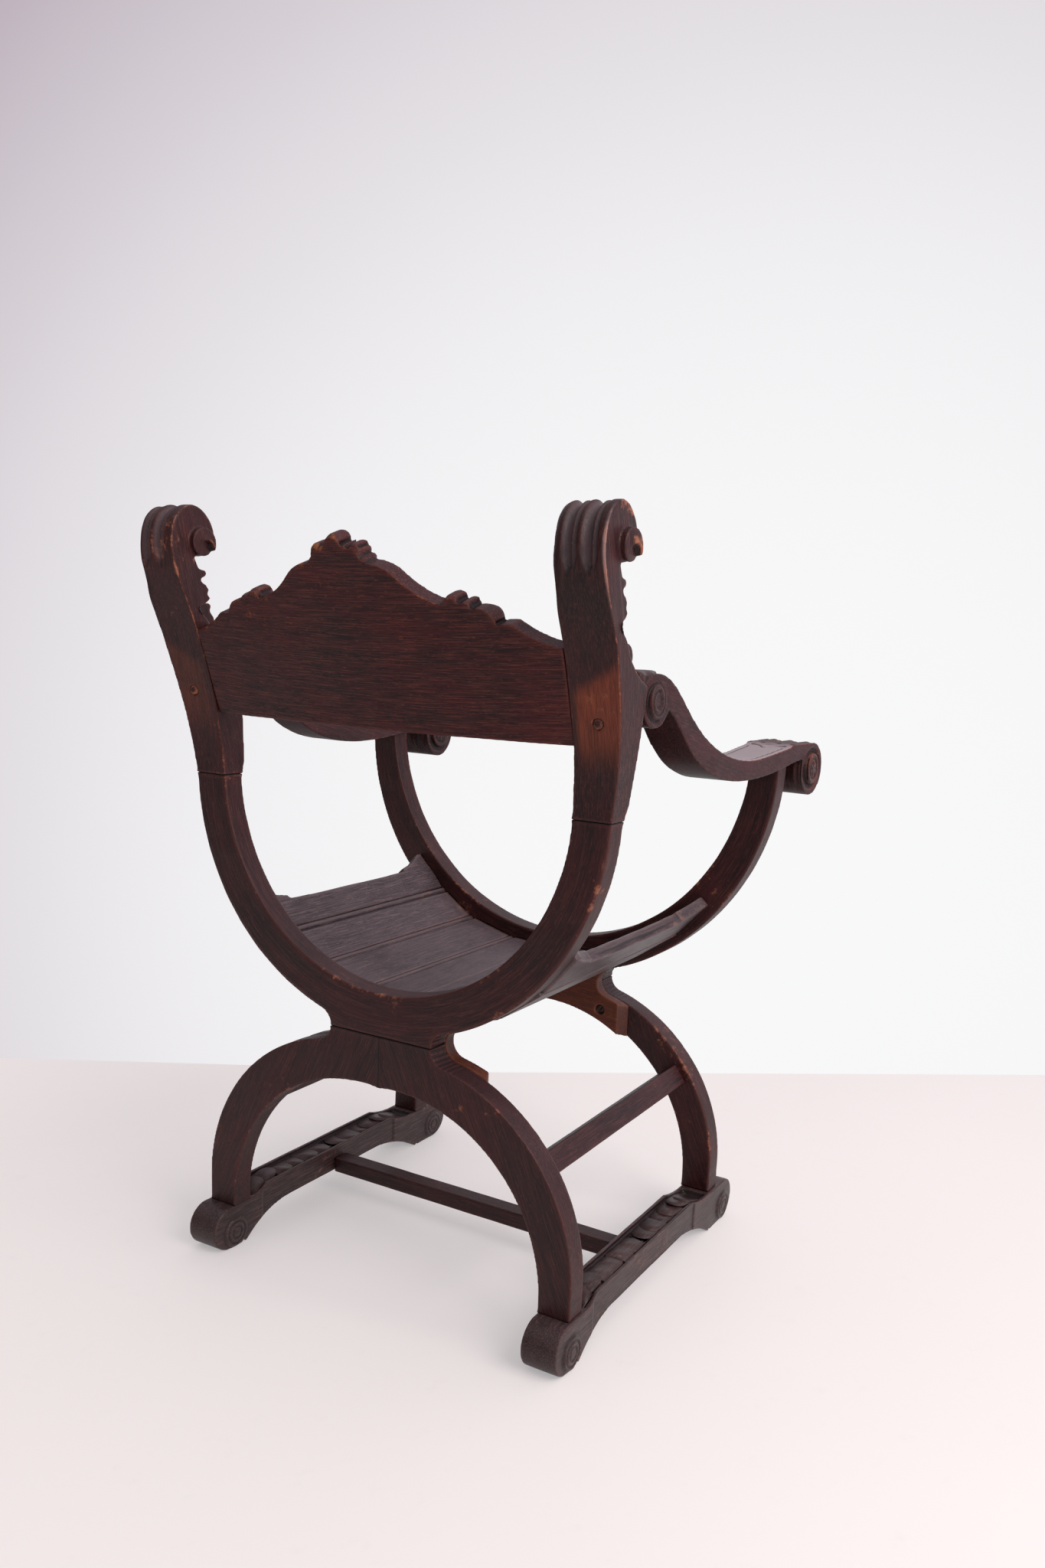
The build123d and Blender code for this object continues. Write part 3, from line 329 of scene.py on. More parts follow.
    rough = add(tree, "ShaderNodeMath", {0: clouds, 1: 0.22, 2: dull - 0.11}, operation="MULTIPLY_ADD")
    rough = add(tree, "ShaderNodeMath", {0: bare, 1: 0.10, 2: rough}, operation="MULTIPLY_ADD")
    rough = add(tree, "ShaderNodeMath", {0: dust_and_sheen, 1: 0.5, 2: rough}, operation="MULTIPLY_ADD")
    height = add(tree, "ShaderNodeMath", {0: pores, 1: -0.8, 2: streaks}, operation="MULTIPLY_ADD")
    height = add(tree, "ShaderNodeMath", {0: chips, 1: 0.35, 2: height}, operation="MULTIPLY_ADD")
    bump = add(tree, "ShaderNodeBump", {"Strength": 0.42, "Distance": 0.0006, "Height": height})
    skin = add(tree, "ShaderNodeBsdfPrincipled", {"Base Color": colour, "Roughness": rough, "IOR": 1.5,
                                                  "Specular IOR Level": gloss, "Normal": bump})
    add(tree, "ShaderNodeOutputMaterial", {"Surface": skin})
    return material


# %% Five oaks under the same stain
# Frames, posts and arms: the darkest, a red-brown that turns near black in the hollows
frame_oak = waxed_oak("stained_waxed_oak", "#17070a", "#3a1519", "#5d352e", "#a4684f", "#0c0506",
                      gloss=0.26)
# The panel is a wide board of the same oak, laid level, redder, with short bright threads
panel_oak = waxed_oak("panel_board_oak", "#1b080c", "#451519", "#6e3d35", "#a0623a", "#0e0506", 0.8, 1.3,
                      gloss=0.21)
# The slats have been sat on and dusted: greyer and duller, with more dust and painted sheen on top
slat_oak = waxed_oak("seat_slat_oak", "#1f1317", "#3a2a30", "#6a5659", "#7d5842", "#100a0c", 0.6, 1.6,
                     0.44, 0.26, 0.42)
# The runners have been kicked and mopped: a little greyer, with a more open grain
runner_oak = waxed_oak("floor_runner_oak", "#190c0e", "#342023", "#6a4f4b", "#86604e", "#0f0809",
                       0.8, 1.2, 0.40, 0.10, 0.32)
# The cleats are a warmer, less stained timber
cleat_oak = waxed_oak("cleat_board_oak", "#260f0c", "#542618", "#7c492d", "#93603a", "#120807", 0.8,
                      gloss=0.26)

# %% [markdown]
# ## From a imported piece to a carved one
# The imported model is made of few, loose triangles. A carver starts from a sawn blank, and so does
# this lesson: the piece's mesh is copied, its doubles are merged, and a voxel Remesh turns it into
# even quads about 1.4 mm wide, fine enough to carry a gouge cut. NumPy then moves the points: a
# smoothing pass softens the arrises as wear does, and cuts push points in along their normals.


# %% Copy a node, and remesh it
def copy_of(name):
    """A new object with a node's mesh, its doubles merged."""
    work = bmesh.new()
    work.from_mesh(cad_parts[name].data)
    bmesh.ops.remove_doubles(work, verts=work.verts, dist=1e-5)
    mesh = bpy.data.meshes.new(name + "_copy")
    work.to_mesh(mesh)
    work.free()
    return linked(name + "_copy", mesh)


def settle(piece):
    """Apply every modifier of a piece, so that its mesh is plain."""
    shape = piece.evaluated_get(bpy.context.evaluated_depsgraph_get())
    mesh = bpy.data.meshes.new_from_object(shape)
    piece.modifiers.clear()
    piece.data = mesh
    return piece


def blank(piece, voxel):
    """Turn a closed mesh into even quads of about one voxel."""
    remesh = piece.modifiers.new("even quads", "REMESH")
    remesh.mode = "VOXEL"
    remesh.voxel_size = voxel * mm
    return settle(piece)


# %% The carver's bench: a mesh as arrays
class Bench:
    """A mesh held as arrays in millimetres, in the drawing frame, while it is carved."""

    def __init__(self, piece):
        self.piece = piece
        mesh = piece.data
        flat = np.empty(len(mesh.vertices) * 3, np.float32)
        mesh.vertices.foreach_get("co", flat)
        self.points = flat.reshape(-1, 3).astype(float) / mm - (0, origin_y, 0)
        pairs = np.empty(len(mesh.edges) * 2, np.int32)
        mesh.edges.foreach_get("vertices", pairs)
        self.ends = pairs.reshape(-1, 2)
        self.links = np.bincount(self.ends.ravel(), minlength=len(self.points)).clip(1)
        self.rub = np.zeros(len(self.points))
        self.washed = np.zeros(len(self.points))
        self.bloom_and_painted_sheen = np.zeros(len(self.points))

    def folded(self):
        """x, y and z of every point, with the chair's right side laid over its left."""
        return np.abs(self.points[:, 0]), self.points[:, 1], self.points[:, 2]

    def spread(self, values, passes):
        """Average values over each point's neighbours, so many times."""
        values = np.array(values, float)
        one, two = self.ends[:, 0], self.ends[:, 1]
        columns = values.reshape(len(values), -1)
        for _ in range(passes):
            for k in range(columns.shape[1]):
                column = columns[:, k]
                total = np.bincount(one, column[two], len(column))
                total += np.bincount(two, column[one], len(column))
                columns[:, k] = 0.5 * column + 0.5 * total / self.links
        return columns.reshape(values.shape)

    def soften(self, passes, share=1.0):
        """Round every edge a little, where share is above 0."""
        moved = self.spread(self.points, passes)
        share = np.reshape(share, (-1, 1)) if np.ndim(share) else share
        self.points = self.points + (moved - self.points) * share

    def normals(self):
        """Unit normals of the mesh as it is now."""
        mesh = self.piece.data
        mesh.vertices.foreach_set("co", ((self.points + (0, origin_y, 0)) * mm).ravel())
        mesh.update()
        flat = np.empty(len(self.points) * 3, np.float32)
        mesh.vertices.foreach_get("normal", flat)
        return flat.reshape(-1, 3).astype(float)

    def cut(self, depth):
        """Push each point in by its depth, along its normal."""
        self.points = self.points - self.normals() * np.reshape(depth, (-1, 1))

    def relief(self, passes=14, reach=0.55):
        """How proud each point stands of its surroundings: 1 on a sharp arris, -1 in a groove."""
        height = ((self.points - self.spread(self.points, passes)) * self.normals()).sum(1)
        return np.tanh(height / reach)

    def finish(self, name, material, grain, nodes, wear=1.0, dirt=1.0, seam=0.0):
        """Write the points and attributes back, and hand the piece over.

        wear and dirt scale the proud and the hollow relief. seam is 1 along a dark glue line.
        """
        relief = self.relief()
        relief = np.where(relief > 0, relief * wear, relief * dirt)
        relief = relief + (-0.8 - relief) * seam
        self.normals()
        mesh = self.piece.data
        for label, values in (("relief", relief), ("rub", self.rub), ("washed", self.washed),
                              ("bloom_and_painted_sheen", self.bloom_and_painted_sheen)):
            mesh.attributes.new(label, "FLOAT", "POINT").data.foreach_set("value", values)
        vectors = mesh.attributes.new("grain", "FLOAT_VECTOR", "POINT")
        vectors.data.foreach_set("vector", (np.asarray(grain) * mm).ravel())
        mesh.materials.clear()
        mesh.materials.append(material)
        mesh.shade_smooth()
        self.piece.name = name
        mesh.name = name
        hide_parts(*nodes)
        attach(self.piece, "root")
        mesh.calc_loop_triangles()
        print(name, len(mesh.loop_triangles), "triangles")


# %% Directions of the fibres, and the unevenness of hand work
boards = {"count": 0}


def straight_grain(points, along, up=(0.0, 0.0, 1.0)):
    """Place along and across straight fibres. Each board starts in a different part of the tree."""
    boards["count"] += 1
    a = Vector(along).normalized()
    b = Vector(up).cross(a).normalized()
    c = a.cross(b)
    basis = np.array([a, b, c]).T
    return points @ basis + boards["count"] * np.array((910.0, 370.0, 230.0))


def hand_planed(points, amount, seed=1):
    """A slow unevenness up to amount, always inwards, as a plane and a gouge leave it."""
    chance = np.random.default_rng(seed)
    total = np.zeros(len(points))
    for _ in range(10):
        wave = chance.normal(0, 1, 3) / chance.uniform(9, 38)
        total += np.sin(points @ wave + chance.uniform(0, 6.28))
    return amount * (0.5 - 0.5 * np.tanh(total / 3.2))


def step(values, low, high):
    """0 below low, 1 above high, and smooth between."""
    t = np.clip((values - low) / (high - low), 0.0, 1.0)
    return t * t * (3 - 2 * t)


# %% [markdown]
# ## The X-frames
# Each frame is two arched legs under a round bowl, cut from 31 mm plank. The CAD outline is made of
# short chords, so after the remesh the points near each circle are set back onto it. The arrises are
# softened by hand planing and a century of dusting. The gouge left curved flats in the crotch where
# arch and bowl meet.

# %% Set points back onto the circles of the pattern
def true_circle(bench, centre, radius, reach=0.45):
    """Move points that lie near a circle, seen from the front, exactly onto it."""
    x = bench.points[:, 0] - centre[0]
    z = bench.points[:, 2] - centre[1]
    distance = np.hypot(x, z)
    near = (np.abs(distance - radius) < reach) & (np.abs(bench.normals()[:, 1]) < 0.3)
    scale = np.where(near, radius / distance, 1.0)
    bench.points[:, 0] = centre[0] + x * scale
    bench.points[:, 2] = centre[1] + z * scale


arch_circle = (43.0, 93.0, 231.0)
arch_insides = {"back": (25.0, 69.0, 207.0), "front": (11.0, 75.0, 221.0)}
bowl_circles = {"back": ((636.5, 292.6), (638.0, 245.6)), "front": ((665.6, 328.9), (678.0, 289.0))}
waists = {"back": (94.75, 338.6), "front": (110.65, 334.7)}
runner_top, post_foot = 58.0, 628.0      # heights of the joints under the legs and under the posts


def crotch_gouge(bench, waist, depth=0.9):
    """Shallow cuts, side by side, round the fillet at each end of the waist."""
    x, z = np.abs(bench.points[:, 0]) - waist[0], bench.points[:, 2] - waist[1]
    near = step(-np.hypot(x, z), -30.0, -22.0)
    faces = step(1 - np.abs(bench.normals()[:, 1]), 0.2, 0.7)
    angle = np.arctan2(z, x) * 20.0
    cuts = 0.5 + 0.5 * np.cos(angle * 1.05 + 0.06 * bench.points[:, 1])
    bench.cut(depth * cuts * near * faces)


def line_at(values, middle, half=1.6):
    """1 on a line where a value is met, and 0 away from it."""
    return np.clip(1.4 * (1 - np.abs(values - middle) / half), 0.0, 1.0)


def unglued(bench, heights, halves=False):
    """1, and 0 along the glued joints, which were levelled together and so stay tight."""
    x, _, z = bench.folded()
    lines = [line_at(z, height, half=5.0) for height in heights]
    if halves:
        lines.append(line_at(x, 0.0, half=5.0))
    return 1 - np.maximum.reduce(lines)


# %% Arches
for part in ("back", "front"):
    for side, sign in sides:
        name = part + "_arch_" + side
        bench = Bench(blank(copy_of(name), voxel=1.45))
        inside = arch_insides[part]
        true_circle(bench, (sign * arch_circle[0], arch_circle[1]), arch_circle[2])
        true_circle(bench, (sign * inside[0], inside[1]), inside[2])
        free = unglued(bench, (waists[part][1], runner_top), halves=True)
        bench.soften(4, free)
        crotch_gouge(bench, waists[part])
        bench.cut(hand_planed(bench.points, 0.5, seed=3) * free)
        x, y, z = bench.folded()
        seam = line_at(x, 0.0) + line_at(z, waists[part][1]) + line_at(z, runner_top)
        grain = straight_grain(bench.points, (sign * 0.45, 0.0, -1.0), (0, 1, 0))
        bench.finish(part + "_arch_oak_" + side, frame_oak, grain, [name], wear=0.6,
                     seam=np.minimum(seam, 1.0))

# %% Bowls
for part in ("back", "front"):
    name = part + "_bowl"
    bench = Bench(blank(copy_of(name), voxel=1.65))
    outer, inner = bowl_circles[part]
    true_circle(bench, (0.0, outer[0]), outer[1])
    true_circle(bench, (0.0, inner[0]), inner[1])
    joints = [waists[part][1]] + ([post_foot] if part == "back" else [])
    free = unglued(bench, joints)
    bench.soften(4, free)
    crotch_gouge(bench, waists[part])
    bench.cut(hand_planed(bench.points, 0.5, seed=5) * free)
    x, y, z = bench.points.T
    turn = np.arctan2(x, outer[0] - z)
    # the fibres follow the bend, from a part of the tree that no other piece uses
    grain = np.stack([turn * outer[1], np.hypot(x, z - outer[0]), y], 1) + (500.0, 0.0, 0.0)
    seam = sum(line_at(z, height) for height in joints)
    bench.finish(part + "_bowl_oak", frame_oak, grain, [name], wear=0.6,
                 seam=np.minimum(seam, 1.0))

# %% [markdown]
# ## The scrolled posts
# Each post is raked back, swells to 62 mm, and rolls over at the top. The carver ran two pairs of
# flutes over the roll, which leave three reeds, cut the eye of the scroll as a winding ramp, and left
# a lobed leaf on the front edge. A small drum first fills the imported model's square grooves, so that
# the flutes can be cut afresh, each with its own rounded foot.

# %% Cuts that several pieces share
def gouge(distance, half_width):
    """Depth, from 1 to 0, of a round-bottomed cut at a distance from its middle line."""
    t = np.clip(np.abs(distance) / half_width, 0.0, 1.0)
    return 1 - t * t


def spiral_gap(p, q, outer, inner, turns, start, sense):
    """Distance to a spiral line that winds inwards from one radius to another."""
    radius = np.hypot(p, q)
    angle = np.mod(sense * (np.arctan2(q, p) - start), 2 * math.pi)
    gap = np.full(len(radius), 99.0)
    for lap in range(int(math.ceil(turns))):
        along = angle + 2 * math.pi * lap
        line = outer - (outer - inner) * along / (2 * math.pi * turns)
        gap = np.minimum(gap, np.where(along <= 2 * math.pi * turns, np.abs(radius - line), 99.0))
    return gap


def end_mesh(work, name):
    """Turn the faces outwards, and make the mesh."""
    bmesh.ops.recalc_face_normals(work, faces=work.faces)
    mesh = bpy.data.meshes.new(name)
    work.to_mesh(mesh)
    work.free()
    return mesh


def solid_between(ring, x_from, x_to):
    """A closed solid: a ring of (y, z) points drawn out from one x to another."""
    work = bmesh.new()
    caps = []
    for x in sorted((x_from, x_to)):
        caps.append([work.verts.new(place(x, y, z)) for y, z in ring])
    for k in range(len(ring)):
        n = (k + 1) % len(ring)
        work.faces.new((caps[0][k], caps[0][n], caps[1][n], caps[1][k]))
    work.faces.new(caps[0])
    work.faces.new(caps[1])
    return end_mesh(work, "solid")


def join_mesh(piece, mesh):
    """Add a closed mesh to a piece before it is remeshed."""
    work = bmesh.new()
    work.from_mesh(piece.data)
    work.from_mesh(mesh)
    work.to_mesh(piece.data)
    work.free()
    bpy.data.meshes.remove(mesh)


# %% Shape of the post, from its side
scroll_middle = (246.0, 912.0)
eye_middle = (236.0, 905.0)
post_inner, post_outer = 248.6, 311.0
flute_middles = (270.75, 292.9)
flutes = ((-3.2, 6.4, 5.4), (5.9, 3.0, 3.0))      # place beside the middle, half width and depth
front_edge = np.polyfit((884, 846, 800, 779), (249, 236.5, 211, 185), 3)


def scroll_ring(points):
    """The outline of the scroll above the flutes' feet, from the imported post's own points."""
    y, z = points[:, 1] - scroll_middle[0], points[:, 2] - scroll_middle[1]
    angle = np.degrees(np.arctan2(z, y))
    angle = np.where(angle < -90, angle + 360, angle)
    radius = np.hypot(y, z)
    good = (points[:, 2] > 876) & (radius < 48)
    ring = []
    for low in range(-46, 234, 5):
        found = good & (angle >= low) & (angle < low + 5)
        if found.any():
            best = np.flatnonzero(found)[np.argmax(radius[found])]
            ring.append((angle[best], radius[best] - 0.15))
    ring.sort()
    return [(scroll_middle[0] + r * math.cos(math.radians(a)),
             scroll_middle[1] + r * math.sin(math.radians(a))) for a, r in ring]


# %% Cuts on the post
def cut_flutes(bench, side):
    """Two pairs of flutes over the roll, one wide and one narrow. Each ends low in a rounded point."""
    x, y, z = bench.folded()
    behind = y > scroll_middle[0] - 6
    foot = np.where(behind, z - 872.0, np.where(y < 246, 40.0, 0.0))
    foot = np.where((y < 250) & (z < 893), 0.0, foot)
    length = step(foot, 0.0, 22.0)
    faces = step(1 - np.abs(bench.normals()[:, 0]), 0.15, 0.6)
    off_eye = step(np.hypot(y - eye_middle[0], z - eye_middle[1]), 17.0, 21.0)
    inward = 1 if side == "right" else -1
    depth = np.zeros(len(x))
    for middle in flute_middles:
        for shift, half, deep in flutes:
            half = half * (0.55 + 0.45 * length)
            away = x - middle - inward * shift * (0.55 + 0.45 * length)
            depth = np.maximum(depth, deep * np.sqrt(length) * gouge(away, half))
    bench.cut(depth * faces * off_eye)
    # a painted sheen: the flutes turn milky grey with their depth, for the gloss in them
    bench.bloom_and_painted_sheen = 0.14 * np.clip(depth / 4.0, 0.0, 1.0) * faces * off_eye


def ease_corner(bench, side):
    """Round off the rear corner of the roll that lies on the left when seen from behind."""
    x, y, z = bench.folded()
    centre = (240.0, 893.0)
    angle = np.degrees(np.arctan2(z - centre[1], y - centre[0]))
    angle = np.where(angle < -100, angle + 360, angle)
    radius = np.hypot(y - centre[0], z - centre[1])
    bins = np.arange(-100, 200, 4.0)
    edge = np.array([radius[np.abs(angle - low) < 4].max(initial=0.0) for low in bins])
    rim = np.interp(angle, bins, edge)
    inner, drop = (x - post_inner, 13.0) if side == "right" else (post_outer - x, 15.0)
    drop = drop * np.interp(angle, (-20, 0, 20, 42, 64, 92), (0.55, 0.68, 0.9, 1.0, 0.72, 0.16))
    share = np.clip(1 - inner / 17.0, 0.0, 1.0) ** 2
    share *= step(z, 812.0, 866.0) * step(angle, -80, -60) * step(-angle, -130, -105)
    near_rim = step(radius, rim - 24.0, rim)
    scale = 1 - drop * share * near_rim / radius
    bench.points[:, 1] = np.where(z > 812, centre[0] + (y - centre[0]) * scale, y)
    bench.points[:, 2] = np.where(z > 812, centre[1] + (z - centre[1]) * scale, z)


def wind_eye(bench):
    """Turn each end of the scroll's eye into a winding ramp with one step."""
    x = np.abs(bench.points[:, 0])
    sign = np.sign(bench.points[:, 0])
    y, z = bench.points[:, 1] - eye_middle[0], bench.points[:, 2] - eye_middle[1]
    radius = np.hypot(y, z)
    bend = 1.1 * (1 - np.clip(radius / 17.0, 0, 1)) ** 1.5
    angle = np.mod(np.arctan2(z, -y) + math.radians(32) - bend, 2 * math.pi)
    drop = 6.5 * angle / (2 * math.pi)
    out = np.where(x > 280, x - post_outer, post_inner - x)
    proud = (out > 0.3) & (radius < 18.5)
    moved = np.where(proud, out * (1 - np.where(proud, drop, 0) / 11.0), out)
    new_x = np.where(x > 280, post_outer + moved, post_inner - moved)
    bench.points[:, 0] = np.where(proud, sign * new_x, bench.points[:, 0])


# y and z round the leaf, seen from the side
leaf_outline = ((260, 891), (243.5, 889), (236, 875.5), (225.5, 874), (222.5, 870), (224.5, 866),
                (234, 861.5), (224, 857), (219, 851), (222, 845.5), (216.5, 841.5), (223.5, 835),
                (230, 831.5), (237, 827.5), (250, 850), (258, 880))


def fold_leaf(bench):
    """Round the leaf on the front edge, undercut its tip, and cut its rib and its folds."""
    x, y, z = bench.folded()
    middle = (post_inner + post_outer) / 2
    u = (x - middle) / 31.2
    edge = np.polyval(front_edge, np.clip(z, 779, 884))
    ahead = edge - y
    leaf = step(ahead, 0.5, 4.0) * step(z, 782, 790) * step(-z, -892, -884)
    share = np.where(u > 0, 0.34, 0.06) * np.abs(u) ** 3
    under = 8.0 * np.exp(-((z - 826) / 6.5) ** 2) * step(ahead, -6.0, -1.0)
    bench.points[:, 1] = y + leaf * ahead * share * step(z, 828, 838) + under
    folds = 0.5 + 0.5 * np.cos(5.5 * math.pi * u * (1.0 - 0.0035 * (z - 800)))
    bench.cut(2.4 * folds ** 2 * leaf * step(1 - np.abs(bench.normals()[:, 0]), 0.2, 0.7))


# %% Worn patches on the post
def post_rub_and_painted_highlight(bench, side):
    """Where hands have rubbed the stain away: the outer rear corner, the eye, and round the peg.

    On the right post a painted highlight, a milky grey, lies along the corner near the roll.
    """
    x, y, z = bench.folded()
    normal = bench.normals()
    rear = step(normal[:, 1], 0.2, 0.7)
    top_line = 775 + 0.55 * (x - 280)
    patch = step(-z, -top_line - 8, -top_line + 10) * step(z, 672, 722) * step(x, 251, 262) * rear
    low = 0.3 * step(-z, -700, -640) * step(x, 296, 309)
    if side == "left":
        corner = step(-x, -(post_inner + 2.2), -(post_inner + 1.2))
        corner *= step(x, post_inner + 0.4, post_inner + 0.9) * step(y, 236, 246) * step(z, 770, 790)
        bench.washed = 0.35 * patch
        bench.rub = 0.27 * corner + low
        return
    corner = step(x, post_outer - 3.6, post_outer - 1.4)
    corner *= step(-x, -(post_outer - 0.3), -(post_outer - 0.8)) * step(y, 225, 240) * step(z, 770, 800)
    wide = step(x, post_outer - 5.4, post_outer - 3.0) * step(-x, -(post_outer - 0.5), -(post_outer - 1.0))
    corner += 0.7 * wide * np.exp(-((z - 903) / 22) ** 2) * step(y, 250, 265)
    corner *= step(y - np.minimum(236 + 0.36 * (z - 800), 262), -4, 4)
    strong = np.exp(-((z - 893) / 40) ** 2)
    top = step(z, 925, 938) * step(-y, -262, -250) * step(y, 214, 222) * step(x, 304, 308)
    hook = step(x, 317.5, 320.5) * step(-np.abs(z - 905), -13, -6)
    bench.washed = 0.8 * patch
    bench.rub = 0.12 * patch + corner * (0.17 + 0.62 * strong) + 0.55 * top + 0.45 * hook + low
    # a painted highlight along the rubbed corner, strongest at the roll
    bench.bloom_and_painted_sheen = np.maximum(bench.bloom_and_painted_sheen, 0.34 * np.clip(corner, 0.0, 1.0) * strong)


# %% Posts
for side, sign in sides:
    name = "back_post_" + side
    piece = copy_of(name)
    ring = scroll_ring(Bench(piece).points)
    join_mesh(piece, solid_between(ring, sign * (post_inner + 0.3), sign * (post_outer - 0.3)))
    join_mesh(piece, solid_between(leaf_outline, sign * (post_inner + 0.6), sign * (post_outer - 0.6)))
    bench = Bench(blank(piece, voxel=1.3))
    ease_corner(bench, side)
    free = unglued(bench, (post_foot,))
    bench.soften(3, free)
    cut_flutes(bench, side)
    wind_eye(bench)
    fold_leaf(bench)
    bench.soften(1, free)
    bench.cut(hand_planed(bench.points, 0.5, seed=7) * free)
    post_rub_and_painted_highlight(bench, side)
    x, y, z = bench.folded()
    roll = step(z, 868, 890) * step(y, 225, 235)
    seam = line_at(z, post_foot)
    grain = straight_grain(bench.points, (0.0, 0.25, 1.0), (0, 1, 0))
    bench.finish("back_post_oak_" + side, frame_oak, grain, [name], dirt=1 - 0.9 * roll,
                 wear=0.7 - 0.4 * roll, seam=seam)

# %% [markdown]
# ## The back panel
# One wide board, 22 mm thick and bowed to the sitter's back, hangs between the posts. Its crest is
# sawn in lobes, and deep notches part them. On the front a shell spreads from the middle, a spray of
# leaves marks each shoulder, and a sunk line follows the outline. The back is left plain.

# %% Coordinates on the panel
panel_foot = (206.5, 704.8)
rake = math.radians(19.6)


def on_panel(points):
    """x, height up the raked panel, and distance ahead of the plane of its rear ends."""
    y, z = points[:, 1] - panel_foot[0], points[:, 2] - panel_foot[1]
    return points[:, 0], y * math.sin(rake) + z * math.cos(rake), z * math.sin(rake) - y * math.cos(rake)


def bow(x):
    """How far the panel bows to the rear, from its ends on the posts."""
    return 22.0 * (1 - (x / post_inner) ** 2)


def crest_line(x, height):
    """The height of the crest at each x, from the highest points."""
    bins = np.arange(-250, 251, 1.0)
    top = np.zeros(len(bins))
    np.maximum.at(top, np.clip(np.round(x + 250).astype(int), 0, 500), height)
    top = np.where(top > 0, top, np.interp(bins, bins[top > 0], top[top > 0]))
    smooth = np.convolve(np.pad(top, 4, mode="edge"), np.ones(9) / 9, mode="valid")
    return np.interp(x, bins, smooth)


# %% Round fingers on the crest
crest_height = 221.0
# distance from the middle, depth of the centre below the crest, and radius
fingers = ((0.0, 8.0, 10.6), (14.5, 12.0, 4.6), (24.6, 17.0, 9.3), (33.5, 26.5, 5.0), (132.0, 71.5, 11.5),
           (148.5, 74.0, 7.5), (167.0, 88.5, 13.0))
crest_notches = (11.8, 17.8, 32.0, 122.5, 142.0, 155.5, 181.0)


def crest_finger(x, drop, radius):
    """A round bar through the thickness of the crest, a little proud of the front."""
    work = bmesh.new()
    rear = -bow(x)
    rings = []
    for ahead, share in ((rear + 3.0, 0.75), (rear + 5.0, 0.97), (rear + 9.0, 1.0), (rear + 22.0, 1.0),
                         (rear + 25.5, 0.9), (rear + 27.0, 0.6)):
        ring = []
        for k in range(24):
            turn = 2 * math.pi * k / 24
            across = x + radius * share * math.cos(turn)
            height = crest_height - drop + radius * share * math.sin(turn)
            y = panel_foot[0] + height * math.sin(rake) - ahead * math.cos(rake)
            z = panel_foot[1] + height * math.cos(rake) + ahead * math.sin(rake)
            ring.append(work.verts.new(place(across, y, z)))
        rings.append(ring)
    for one, two in zip(rings, rings[1:]):
        for k in range(24):
            n = (k + 1) % 24
            work.faces.new((one[k], one[n], two[n], two[k]))
    work.faces.new(rings[0])
    work.faces.new(rings[-1])
    return end_mesh(work, "crest_finger")


# %% Carving on the front of the panel
def carve_panel_front(bench):
    """A shell in the middle, a spray on each shoulder, and a sunk line along the outline."""
    x, height, ahead = on_panel(bench.points)
    normal = bench.normals()
    front = step(normal[:, 2] * math.sin(rake) - normal[:, 1] * math.cos(rake), 0.45, 0.8)
    crest = crest_line(x, height)
    below = crest - height
    inside = step(-np.abs(x), -238, -230)
    line = 1.6 * gouge(below - 19, 2.6) + 1.0 * gouge(below - 26, 1.8)
    base = 1.4 * gouge(height - 20, 2.4)
    radius = np.hypot(x, height - 160)
    fan = np.arctan2(x, height - 160)
    shell_area = step(-radius, -60, -54) * step(radius, 10, 16) * step(-np.abs(fan), -1.45, -1.3)
    shell = 3.4 * (0.5 - 0.5 * np.cos(fan * 9.0)) * shell_area * step(radius, 10, 40)
    side_x = np.abs(x) - 146
    spray_radius = np.hypot(side_x, height - 108)
    spray_turn = np.arctan2(side_x, height - 108)
    spray_area = step(-spray_radius, -50, -42) * step(spray_radius, 7, 12)
    spray_area *= step(-np.abs(spray_turn), -1.5, -1.3)
    spray = 2.8 * (0.5 - 0.5 * np.cos(spray_turn * 8.0 + 0.5)) * spray_area
    coil = 1.9 * gouge(spiral_gap(side_x + 26, height - 96, 20, 4, 1.6, -0.6, -1.0), 2.2)
    coil *= step(-np.hypot(side_x + 26, height - 96), -22, -20)
    plain = (1 - step(-radius, -64, -56)) * (1 - step(-spray_radius, -52, -44))
    depth = np.maximum.reduce([line * plain, base, shell, spray, coil])
    bench.cut(depth * front * inside)


# %% Panel
piece = copy_of("back_panel")
for middle, drop, radius in fingers:
    for sign in (1, -1) if middle else (1,):
        join_mesh(piece, crest_finger(sign * middle, drop, radius))
bench = Bench(blank(piece, voxel=1.7))
bench.soften(2)
carve_panel_front(bench)
x, height, ahead = on_panel(bench.points)
top_faces = step(bench.normals()[:, 2], 0.3, 0.7)
notches = np.zeros(len(x))
for middle in crest_notches:
    notches = np.maximum(notches, gouge(np.abs(x) - middle, 2.6))
bench.cut(4.3 * notches * top_faces * step(height, 118, 124))
bench.soften(1)
bench.cut(hand_planed(bench.points, 0.4, seed=9))
x, height, ahead = on_panel(bench.points)
crest = crest_line(x, height)
behind = step(bench.normals()[:, 1], 0.2, 0.8)
chips = np.exp(-(np.abs(x - 8) / 26) ** 2) + 0.35 * np.exp(-((np.abs(x) - 132) / 10) ** 2)
rim = step(height - crest, -8, -1.5) * behind
ogee = step(-x, 44, 54) * step(x, -122, -112) * step(height - crest, -3.0, -0.6) * behind
bench.rub = 0.42 * chips * rim + 0.34 * ogee
# the fibres run along the board and follow its bow
grain = np.stack([x, height, ahead + bow(x)], 1) + (9100.0, 3700.0, 300.0)
bench.finish("back_panel_oak", panel_oak, grain, ["back_panel"], wear=0.6)

